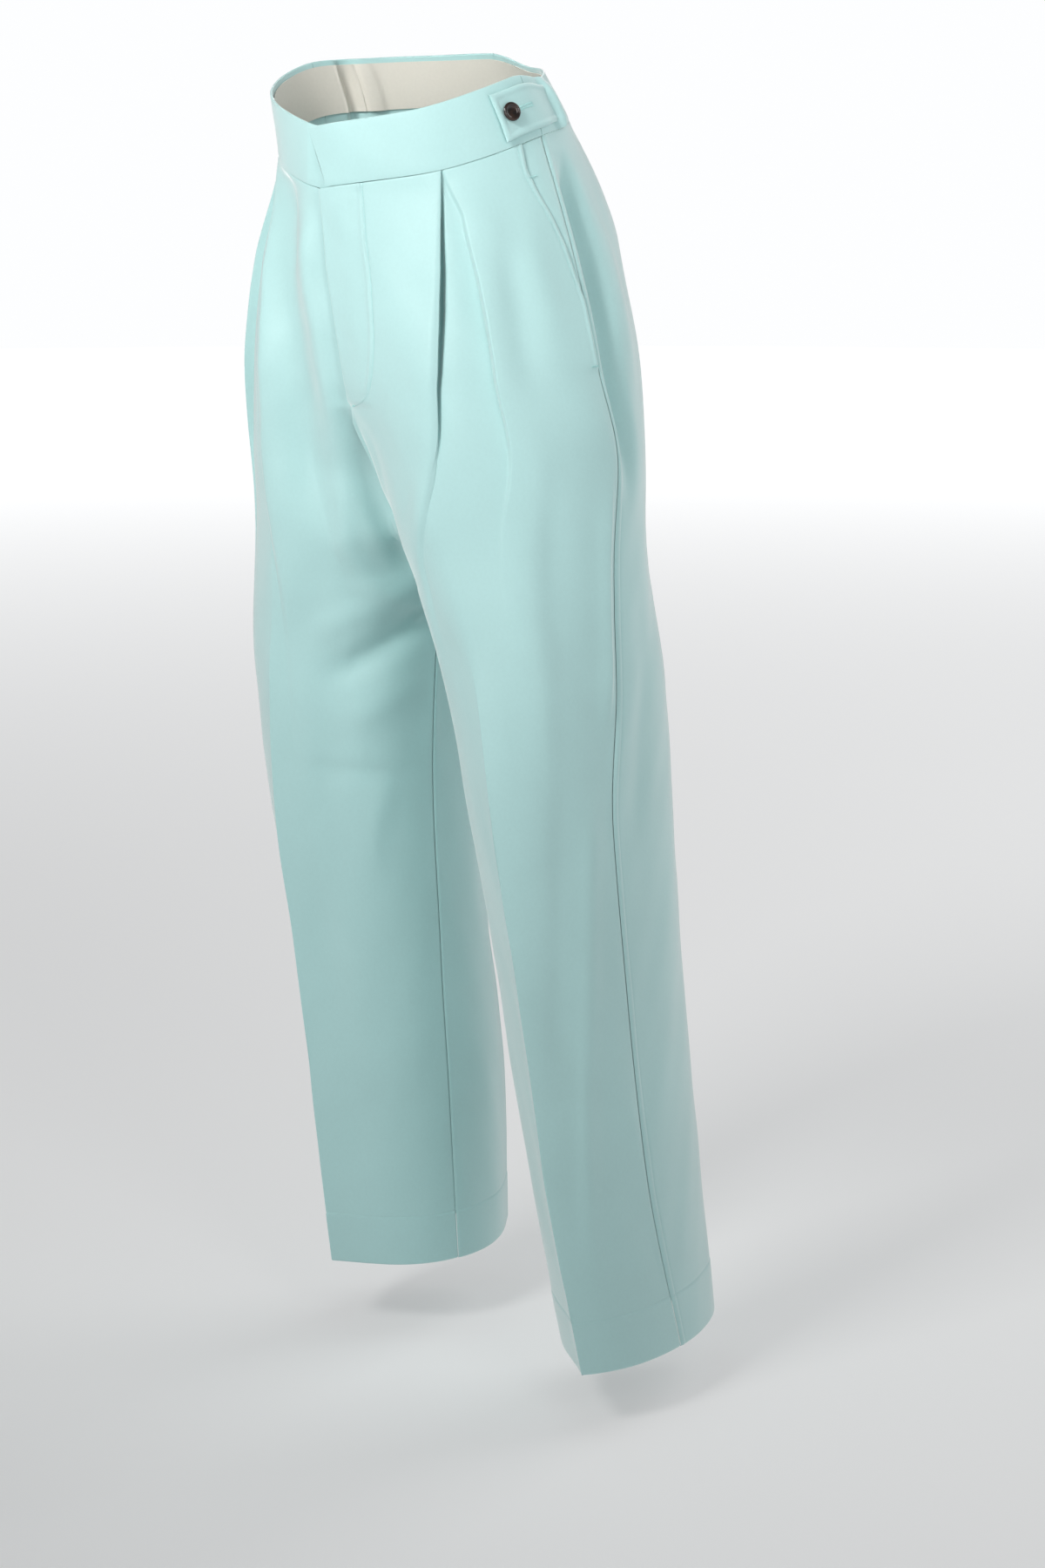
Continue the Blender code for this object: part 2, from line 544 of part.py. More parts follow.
# waistband facing: one strip inside the whole waistband, open at centre front, its top edge under the rim
FACE_V = np.array([-0.045, -0.024, -0.003])
parts = []
for side in (1, -1):
    rows = []
    for v in FACE_V:
        _, sb, sf = band_row(side, v, [0.0])
        rows.append(band_row(side, v, np.linspace(sf - 0.004, sb, 22))[0])
    g = np.array(rows)
    n = frame_of(g)
    if float(np.dot(n[0, 11], [side, 0, 0])) < 0:
        n = -n
    n[:, -1, 0] = 0
    n /= np.linalg.norm(n, axis=2, keepdims=True)
    outer = g - n * (WALL - BAND_LIFT + GAP * 2)
    parts.append((outer, outer - n * 0.0011))
outer = mirror_strip(parts[0][0], parts[1][0][:, ::-1])
inner = mirror_strip(parts[0][1], parts[1][1][:, ::-1])
shell("waistband_facing", outer, inner, FACING, home)

# fly: shield behind the opening on the wearer's right, zip tape between it and the left front
def fly_strip(name, first, last, depth, wall, top, bottom, mat):
    rows = []
    for v in np.linspace(top, bottom, 8):
        right, rs = row_at(-1, True, v)
        left, ls = row_at(1, True, v)
        line = np.vstack([right, left[::-1][1:]])
        s = lengths(line)
        mid = rs[-1]
        s = s - mid
        dist = np.linspace(first, last, 5)
        rows.append(np.array([np.interp(dist, s, line[:, k]) for k in range(3)]).T)
    g = np.array(rows)
    n = frame_of(g)
    if float(np.dot(n[3, 2], [0, -1, 0])) < 0:
        n = -n
    outer = g - n * depth
    shell(name, outer, outer - n * wall, mat, home)


fly_strip("fly_zip", -0.011, 0.013, WALL + 0.0006, 0.0010, 0.004, 0.150, TAPE)
fly_strip("fly_shield", -0.016, FLY_WIDTH, WALL + 0.0024, 0.0014, 0.004, 0.160, CLOTH)
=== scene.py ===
"""Looks of the pleated straight-leg trousers: cloth shells, seams, stitches, tabs, buttons, light and camera.

Metres, +Z up, front towards -Y, the wearer's left towards +X. v is the length down the side from the waist seam
and s the length round from the side seam, so every crease and stitch is placed by two lengths on its own panel.
"""

import math

import bpy
import numpy as np
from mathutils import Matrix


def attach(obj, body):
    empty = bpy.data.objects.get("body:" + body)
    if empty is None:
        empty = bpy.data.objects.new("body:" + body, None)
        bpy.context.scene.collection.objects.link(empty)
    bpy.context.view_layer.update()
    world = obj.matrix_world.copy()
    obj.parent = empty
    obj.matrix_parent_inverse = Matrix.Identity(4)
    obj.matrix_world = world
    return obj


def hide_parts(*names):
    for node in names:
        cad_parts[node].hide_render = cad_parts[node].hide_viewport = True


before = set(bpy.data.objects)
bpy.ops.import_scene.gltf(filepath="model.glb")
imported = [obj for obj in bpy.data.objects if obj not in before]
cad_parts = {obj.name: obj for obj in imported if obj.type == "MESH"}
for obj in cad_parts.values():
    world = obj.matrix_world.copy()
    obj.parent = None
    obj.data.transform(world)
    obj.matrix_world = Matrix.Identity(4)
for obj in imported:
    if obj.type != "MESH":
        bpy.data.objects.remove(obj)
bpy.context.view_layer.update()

# ---------------------------------------------------------------- driving sizes (m)
CLOTH_WALL = 0.0009      # the cloth of a panel
BAND_WALL = 0.0024       # waistband, doubled
TAB_WALL = 0.0022
GAP = 0.0004
BUTTON_R = 0.0078
HEM_DEPTH = 0.046        # turned hem
STITCH, STITCH_STEP = 0.0024, 0.0031

# ---------------------------------------------------------------- rings round the whole body
# v is the height down the side; cx, cy centre; a half width; bf, bb depth to front and back;
# z_cf, z_l, z_r, z_cb heights at centre front, left side, right side and centre back;
# p_l, p_r how the front edge climbs to each side; th_f, th_b where the creases sit (degrees from the side);
# th_o where the side seam sits; x_f, y_f, in_f centre front point and how far it turns under; the same at the back.
RING_COLS = ("v cx cy a bf bb z_cf z_l z_r z_cb p_l p_r th_f th_b th_o x_f y_f in_f x_b y_b in_b").split()
RINGS = [
    ("rim",   -0.052, -0.003, -0.003, 0.130, 0.103, 0.103, -0.0105, 0.0305, 0.0465, 0.0530, 1.0, 0.6, 46, 50, -4, -0.002, -0.1060, 0, -0.003, 0.100, 0),
    ("seam",   0.000,  0.007,  0.007, 0.135, 0.113, 0.113, -0.0620, -0.0200, -0.0080, 0.0020, 1.0, 0.6, 43, 50, -4, 0.000, -0.1060, 0, 0.005, 0.120, 0),
    ("upper",  0.090,  0.010,  0.008, 0.168, 0.123, 0.158, -0.1400, -0.1120, -0.1080, -0.1050, 1.0, 0.8, 52, 55, -2, 0.008, -0.1060, 0, 0.011, 0.163, 0),
    ("hip",    0.180,  0.020,  0.009, 0.190, 0.136, 0.153, -0.2150, -0.2000, -0.2000, -0.2050, 1.0, 1.0, 57, 58, 0, 0.016, -0.1010, 6, 0.021, 0.156, 4),
    ("seat",   0.260,  0.028,  0.008, 0.200, 0.136, 0.139, -0.2860, -0.2800, -0.2800, -0.2900, 1.0, 1.0, 58.4, 60, -4, 0.028, -0.0740, 30, 0.031, 0.122, 30),
    ("fork",   0.335,  0.037,  0.002, 0.196, 0.132, 0.138, -0.3520, -0.3550, -0.3550, -0.3620, 1.0, 1.0, 58, 61, -1, 0.0405, -0.0480, 62, 0.040, 0.066, 60),
]
# ---------------------------------------------------------------- rings of each leg
# v; cx, cy centre; turn of the creases outwards (rad); half length crease to crease; half widths outwards and
# inwards; lead how far forward
# of the middle the side seam runs; sharp_f, sharp_b crease angles (degrees); z_out, z_in heights at the side and at the inside seam.
LEG_COLS = "v cx cy turn half w_out w_in lead sharp_f sharp_b z_out z_in".split()
LEG_L = [
    ("top",   0.378, 0.158, 0.004, 0.030, 0.105, 0.074, 0.116, 0.000, 2, 2, -0.400, -0.390),
    ("thigh", 0.420, 0.177, 0.001, 0.050, 0.110, 0.065, 0.104, 0.003, 10, 8, -0.440, -0.436),
    ("above", 0.560, 0.213, -0.009, 0.045, 0.112, 0.044, 0.095, 0.012, 30, 24, -0.580, -0.578),
    ("knee",  0.710, 0.238, -0.008, 0.053, 0.105, 0.033, 0.094, 0.008, 42, 38, -0.730, -0.730),
    ("calf",  0.860, 0.254, 0.001, 0.070, 0.102, 0.030, 0.084, 0.006, 45, 42, -0.880, -0.880),
    ("hem",   1.015, 0.268, 0.018, 0.150, 0.101, 0.034, 0.072, 0.000, 45, 42, -1.035, -1.035),
]
LEG_R = [
    ("top",   0.378, -0.069, 0.003, -0.030, 0.106, 0.088, 0.108, 0.000, 2, 2, -0.400, -0.390),
    ("thigh", 0.420, -0.073, 0.000, -0.020, 0.107, 0.080, 0.100, 0.003, 10, 8, -0.440, -0.436),
    ("above", 0.560, -0.058, -0.001, 0.065, 0.112, 0.066, 0.087, 0.006, 30, 24, -0.580, -0.578),
    ("knee",  0.710, -0.038, 0.005, 0.157, 0.106, 0.053, 0.077, 0.008, 42, 38, -0.730, -0.730),
    ("calf",  0.860, -0.022, 0.011, 0.210, 0.103, 0.050, 0.068, 0.006, 45, 42, -0.872, -0.872),
    ("hem",   1.010, -0.013, 0.014, 0.170, 0.098, 0.050, 0.061, 0.000, 45, 42, -1.020, -1.020),
]
KAPPA = 0.5523  # handle of a quarter ellipse


def table(rows, cols):
    return [dict(zip(["name"] + list(cols), row)) for row in rows]


RINGS_T = table(RINGS, RING_COLS)
LEGS_T = {1: table(LEG_L, LEG_COLS), -1: table(LEG_R, LEG_COLS)}


def ring_height(r, side, th):
    """Height of a body ring at angle th from the side towards the front (negative: towards the back)."""
    s = math.sin(th)
    zs, p = (r["z_l"], r["p_l"]) if side > 0 else (r["z_r"], r["p_r"])
    if s >= 0:
        return r["z_cf"] + (zs - r["z_cf"]) * (1 - s) ** p
    return zs + (r["z_cb"] - zs) * (-s)


def ring_arcs(r, side, front):
    """Two Bezier arcs of a body ring: side seam to crease, crease to centre line."""
    b = r["bf"] if front else r["bb"]
    sy = -1.0 if front else 1.0
    th0 = math.radians(r["th_o"] if front else -r["th_o"])
    th1 = math.radians(r["th_f"] if front else r["th_b"])
    zsg = 1 if front else -1

    def at(th):
        bb = b if th >= 0 else (r["bb"] if front else r["bf"])
        return np.array([r["cx"] + side * r["a"] * math.cos(th), r["cy"] + sy * bb * math.sin(th), ring_height(r, side, zsg * th)])

    def slope(th):
        return np.array([-side * r["a"] * math.sin(th), sy * b * math.cos(th), 0.0])

    def arc(t0, t1):
        k = 4.0 / 3.0 * math.tan((t1 - t0) / 4)
        p0, p3 = at(t0), at(t1)
        q1, q2 = p0 + slope(t0) * k, p3 - slope(t1) * k
        q1[2], q2[2] = p0[2] + (p3[2] - p0[2]) / 3, p0[2] + (p3[2] - p0[2]) * 2 / 3
        return [p0, q1, q2, p3]

    first = arc(th0, th1)
    second = arc(th1, math.pi / 2)
    x, y, turn = (r["x_f"], r["y_f"], r["in_f"]) if front else (r["x_b"], r["y_b"], r["in_b"])
    z = r["z_cf"] if front else r["z_cb"]
    end = np.array([x, y, z])
    ang = math.radians(turn)
    handle = abs(second[3][0] - second[2][0]) * (1 - 0.25 * math.sin(ang))
    ti = np.array([-side * math.cos(ang), -sy * math.sin(ang), 0.0])
    second[3] = end
    second[2] = end - ti * handle
    second[2][2] = second[1][2] + (end[2] - second[1][2]) * 0.5
    return first + second


def leg_arcs(r, side, front):
    t = r["turn"]
    ef = np.array([side * math.sin(t), -math.cos(t), 0.0])
    eo = np.array([side * math.cos(t), math.sin(t), 0.0])
    zo, zi = r["z_out"], r["z_in"]
    c = np.array([r["cx"], r["cy"], 0.0])
    o = c + eo * r["w_out"] + ef * r["lead"] + np.array([0, 0, zo])
    i = c - eo * r["w_in"] + np.array([0, 0, zi])
    d = ef if front else -ef
    zk = (zo * r["w_in"] + zi * r["w_out"]) / (r["w_in"] + r["w_out"])
    k = c + d * r["half"] + np.array([0, 0, zk])
    g = math.radians(r["sharp_f"] if front else r["sharp_b"])
    t_in = -eo * math.cos(g) + d * math.sin(g)
    t_out = -eo * math.cos(g) - d * math.sin(g)
    h = lambda p, q, e: abs(float(np.dot((q - p)[:2], e[:2]))) * KAPPA
    first = [o, o + d * h(o, k, d), k - t_in * h(o, k, eo), k]
    second = [k, k + t_out * h(k, i, eo), i + d * h(k, i, d), i]
    for arc in (first, second):
        arc[1] = np.array([arc[1][0], arc[1][1], arc[0][2] + (arc[3][2] - arc[0][2]) / 3])
        arc[2] = np.array([arc[2][0], arc[2][1], arc[0][2] + (arc[3][2] - arc[0][2]) * 2 / 3])
    return first + second


def pchip(xs, ys, x):
    """Shape-keeping cubic through the rows."""
    xs, ys, x = np.asarray(xs, float), np.asarray(ys, float), np.atleast_1d(np.asarray(x, float))
    h = np.diff(xs)
    shape = (-1,) + (1,) * (ys.ndim - 1)
    d = np.diff(ys, axis=0) / h.reshape(shape)
    m = np.zeros_like(ys)
    w1, w2 = (2 * h[1:] + h[:-1]).reshape(shape), (h[1:] + 2 * h[:-1]).reshape(shape)
    same = d[:-1] * d[1:] > 0
    safe0, safe1 = np.where(same, d[:-1], 1.0), np.where(same, d[1:], 1.0)
    m[1:-1] = np.where(same, (w1 + w2) / (w1 / safe0 + w2 / safe1), 0.0)
    m[0], m[-1] = d[0], d[-1]
    k = np.clip(np.searchsorted(xs, x) - 1, 0, len(xs) - 2)
    hk = h[k].reshape(shape)
    t = ((x - xs[k]) / h[k]).reshape(shape)
    return ((1 + 2 * t) * (1 - t) ** 2 * ys[k] + t * (1 - t) ** 2 * hk * m[k]
            + t * t * (3 - 2 * t) * ys[k + 1] + t * t * (t - 1) * hk * m[k + 1])


def controls(side, front):
    """Heights v and eight Bezier controls for every row of one quarter of the trousers."""
    vs, rows = [], []
    for r in RINGS_T:
        vs.append(r["v"])
        rows.append(ring_arcs(r, side, front))
    for r in LEGS_T[side]:
        vs.append(r["v"])
        rows.append(leg_arcs(r, side, front))
    return np.array(vs), np.array(rows)


V_FORK = LEGS_T[1][0]["v"]
SOFT_AT, SOFT_RUN, SOFT_REACH = 0.375, 0.20, 0.062   # where body rings turn into leg rings, and how far that change is spread
CONTROLS = {(s, f): controls(s, f) for s in (1, -1) for f in (True, False)}


def surface(side, front, us, vs):
    """Grid of points, rows by v, columns by u: 0 at the side seam, 0.5 on the crease, 1 at the centre or inside seam."""
    rv, rows = CONTROLS[(side, front)]
    us, vs = np.asarray(us, float), np.asarray(vs, float)
    c = pchip(rv, rows, vs)
    reach = SOFT_REACH * np.clip(1 - np.abs(vs - SOFT_AT) / SOFT_RUN, 0, 1)
    c[:, :6] = sum(w * pchip(rv, rows, vs + reach * k)[:, :6] for k, w in ((-1, 0.15), (-0.5, 0.22), (0, 0.26), (0.5, 0.22), (1, 0.15)))
    below = vs > V_FORK     # the inside seam is one line for the front and the back
    if below.any():
        k = len(RINGS)
        seam = pchip(rv[k:], rows[k:, 7], vs[below])
        c[below, 6] += seam - c[below, 7]
        c[below, 7] = seam
    out = np.zeros(vs.shape + us.shape + (3,))
    for j, u in enumerate(us):
        a = c[:, 0:4] if u < 0.5 else c[:, 4:8]
        t = u * 2 if u < 0.5 else u * 2 - 1
        out[:, j] = (1 - t) ** 3 * a[:, 0] + 3 * (1 - t) ** 2 * t * a[:, 1] + 3 * (1 - t) * t * t * a[:, 2] + t ** 3 * a[:, 3]
    return out


# ================================================================ the base surface, sampled
def lengths(line):
    return np.concatenate([[0.0], np.cumsum(np.linalg.norm(np.diff(line, axis=0), axis=1))])


def smooth(x, a, b):
    """0 at a, 1 at b, eased."""
    t = np.clip((np.asarray(x, float) - a) / (b - a), 0, 1)
    return t * t * (3 - 2 * t)


def grid_normals(p):
    n = np.cross(np.gradient(p, axis=0), np.gradient(p, axis=1))
    return n / np.maximum(np.linalg.norm(n, axis=2, keepdims=True), 1e-12)


class Quarter:
    """One quarter of the trousers: its rows, their lengths and their outward normals."""

    def __init__(self, side, front):
        self.side, self.front = side, front
        self.end = float(CONTROLS[(side, front)][0][-1])
        self.vs = np.linspace(-0.054, self.end, 536)
        self.us = np.linspace(0, 1, 181)
        self.p = surface(side, front, self.us, self.vs)
        self.measure()

    def measure(self):
        n = grid_normals(self.p)
        away = np.array([self.side * 0.8, -1.0 if self.front else 1.0, 0.0])
        if np.sum(n[:, 90] @ away) < 0:
            n = -n
        self.n = n
        d = np.linalg.norm(np.diff(self.p, axis=1), axis=2)
        self.s = np.concatenate([np.zeros((len(self.vs), 1)), np.cumsum(d, axis=1)], axis=1)

    def row(self, v):
        k = np.clip(np.searchsorted(self.vs, v) - 1, 0, len(self.vs) - 2)
        t = (v - self.vs[k]) / (self.vs[k + 1] - self.vs[k])
        mix = lambda a: a[k] * (1 - t) + a[k + 1] * t
        return mix(self.s), mix(self.p), mix(self.n)

    def width(self, v):
        return float(self.row(v)[0][-1])

    def crease(self, v):
        return float(np.interp(0.5, self.us, self.row(v)[0]))

    def at(self, v, s):
        """Points and normals at one height; beyond either seam the row runs straight on."""
        rs, rp, rn = self.row(v)
        s = np.asarray(s, float)
        p = np.stack([np.interp(s, rs, rp[:, k]) for k in range(3)], -1)
        n = np.stack([np.interp(s, rs, rn[:, k]) for k in range(3)], -1)
        lo, hi = np.minimum(s, 0.0), np.maximum(s - rs[-1], 0.0)
        p = p + lo[..., None] * (rp[1] - rp[0]) / rs[1] + hi[..., None] * (rp[-1] - rp[-2]) / (rs[-1] - rs[-2])
        return p, n / np.linalg.norm(n, axis=-1, keepdims=True)


Q = {(s, f): Quarter(s, f) for s in (1, -1) for f in (True, False)}


def even_waist():
    """The waist runs round in one soft line: its rings are averaged along their own length, apart from the centre front."""
    reach = 15
    kernel = np.exp(-0.5 * (np.arange(-3 * reach, 3 * reach + 1) / reach) ** 2)
    kernel /= kernel.sum()
    order = [((1, True), 1), ((-1, True), -1), ((-1, False), 1), ((1, False), -1)]
    n = len(Q[(1, True)].us)
    far = np.abs(np.arange(4 * n) - n) * 0.0012
    keep_front = smooth(far, 0.008, 0.045)[:, None]
    for i, v in enumerate(Q[(1, True)].vs):
        share = 1 - float(smooth(v, 0.0, 0.05))
        if share <= 0:
            break
        ring = np.concatenate([Q[k].p[i][::o] for k, o in order])
        pad = np.concatenate([ring[-3 * reach:], ring, ring[:3 * reach]])
        soft = np.stack([np.convolve(pad[:, c], kernel, "valid") for c in range(3)], -1)
        ring = ring + (soft - ring) * share * keep_front
        for j, (k, o) in enumerate(order):
            Q[k].p[i] = ring[j * n:(j + 1) * n][::o]
    top = int(np.searchsorted(Q[(1, True)].vs, 0.055))
    for (a, b, ja, jb) in (((1, True), (1, False), 0, 0), ((-1, True), (-1, False), 0, 0), ((1, False), (-1, False), -1, -1)):
        mid = (Q[a].p[:top, ja] + Q[b].p[:top, jb]) / 2
        Q[a].p[:top, ja] = Q[b].p[:top, jb] = mid
    for q in Q.values():
        q.measure()


even_waist()


# ================================================================ creases
def along(rows, cols, v):
    """A column of a table of heights, read at v."""
    t = np.array([r[0] for r in rows])
    return np.interp(v, t, [r[cols] for r in rows])


def crease(v, s, line, amp, wide, lopside=0.0, fade=(0.25, 0.25)):
    """A soft ridge (amp > 0) or trough along a line of (v, s) points. lopside above 0 makes its +s flank the steep one."""
    pts = np.array(line, float)
    best = np.full(v.shape, 9.0)
    run = np.zeros(v.shape)
    sign = np.zeros(v.shape)
    cum = lengths(pts)
    for i in range(len(pts) - 1):
        a, b = pts[i], pts[i + 1]
        d = b - a
        ll = float(d @ d)
        t = np.clip(((v - a[0]) * d[0] + (s - a[1]) * d[1]) / ll, 0, 1)
        ex, ey = v - (a[0] + t * d[0]), s - (a[1] + t * d[1])
        dist = np.hypot(ex, ey)
        near = dist < best
        best = np.where(near, dist, best)
        run = np.where(near, (cum[i] + t * math.sqrt(ll)) / cum[-1], run)
        sign = np.where(near, np.sign(d[0] * ey - d[1] * ex), sign)
    w = wide * (1 - lopside * sign)
    f = smooth(run, 0.0, max(fade[0], 1e-6)) * (1 - smooth(run, 1 - max(fade[1], 1e-6), 1.0))
    return amp * f * np.exp(-(best / w) ** 2)


# where the two pleats of a front run: v, s of the fold that faces the side, s of the fold that faces the middle
PLEATS = {
    1: [(-0.01, 0.0950, 0.0950), (0.0, 0.0962, 0.0940), (0.010, 0.0985, 0.0932), (0.039, 0.1062, 0.0874), (0.064, 0.1125, 0.0887), (0.109, 0.1236, 0.0889),
        (0.150, 0.1322, 0.0900), (0.174, 0.1372, 0.0909), (0.200, 0.1440, 0.0930), (0.230, 0.1530, 0.0960), (0.260, 0.1615, 0.0990), (0.307, 0.1680, 0.1010), (0.347, 0.1780, 0.1010), (0.40, 0.180, 0.1010)],
    -1: [(-0.01, 0.0965, 0.0930), (0.0, 0.0980, 0.0920), (0.020, 0.1035, 0.0895), (0.040, 0.1115, 0.0860), (0.072, 0.1270, 0.0860), (0.120, 0.1440, 0.0880),
         (0.154, 0.1550, 0.0890), (0.200, 0.1620, 0.0915), (0.230, 0.1660, 0.0945), (0.275, 0.1660, 0.0990), (0.34, 0.158, 0.1000)],
}
# v; how far the pleat's layer runs under, how far its mouth lifts, how folded it is, the step of the second fold,
# the soft ridge on top of the fold: its height and how far inside the fold's edge it runs; how wide the mouth stands open
PLEAT_FORM = [(-0.01, 0.0070, 0.0000, 1.00, 0.0006, 0.0002, 0.0020, 0.0000), (0.006, 0.0080, 0.0004, 1.00, 0.0016, 0.0004, 0.0024, 0.0003), (0.040, 0.0080, 0.0010, 1.00, 0.0042, 0.0010, 0.0034, 0.0017),
              (0.080, 0.0080, 0.0014, 1.00, 0.0068, 0.0018, 0.0054, 0.0034), (0.115, 0.0080, 0.0016, 1.00, 0.0084, 0.0024, 0.0070, 0.0042), (0.150, 0.0078, 0.0016, 1.00, 0.0092, 0.0030, 0.0084, 0.0032),
              (0.180, 0.0074, 0.0014, 1.00, 0.0088, 0.0034, 0.0092, 0.0018), (0.205, 0.0064, 0.0010, 0.94, 0.0076, 0.0034, 0.0094, 0.0008), (0.232, 0.0046, 0.0005, 0.60, 0.0056, 0.0032, 0.0090, 0.0004),
              (0.262, 0.0028, 0.0001, 0.06, 0.0038, 0.0030, 0.0080, 0.0), (0.300, 0.0020, 0.0000, 0.00, 0.0020, 0.0028, 0.0070, 0.0), (0.36, 0.0020, 0.0, 0.0, 0.0006, 0.0024, 0.0070, 0.0), (0.46, 0.0020, 0.0, 0.0, 0.0, 0.0012, 0.0070, 0.0), (0.60, 0.002, 0.0, 0.0, 0.0, 0.0004, 0.0070, 0.0)]


def top_of_pleat(side, v, s):
    """Height of the cloth that lies over the pleat: its lifted edge and the soft ridge inside it."""
    x = s - along(PLEATS[side], 1, v)
    pinch = 1 - 0.55 * (1 - smooth(v, 0.0, 0.012))
    mouth, k, high, off = (along(PLEAT_FORM, c, v) for c in (2, 3, 5, 6))
    lift = k * (0.0014 * pinch * np.exp(-(x / 0.011) ** 2) + mouth * np.exp(-(x / 0.013) ** 2))
    ridge = np.where(x < off, np.sin(np.pi / 2 * np.clip(x / off, 0, 1)), np.exp(-((x - off) / 0.019) ** 2))
    return lift + high * ridge


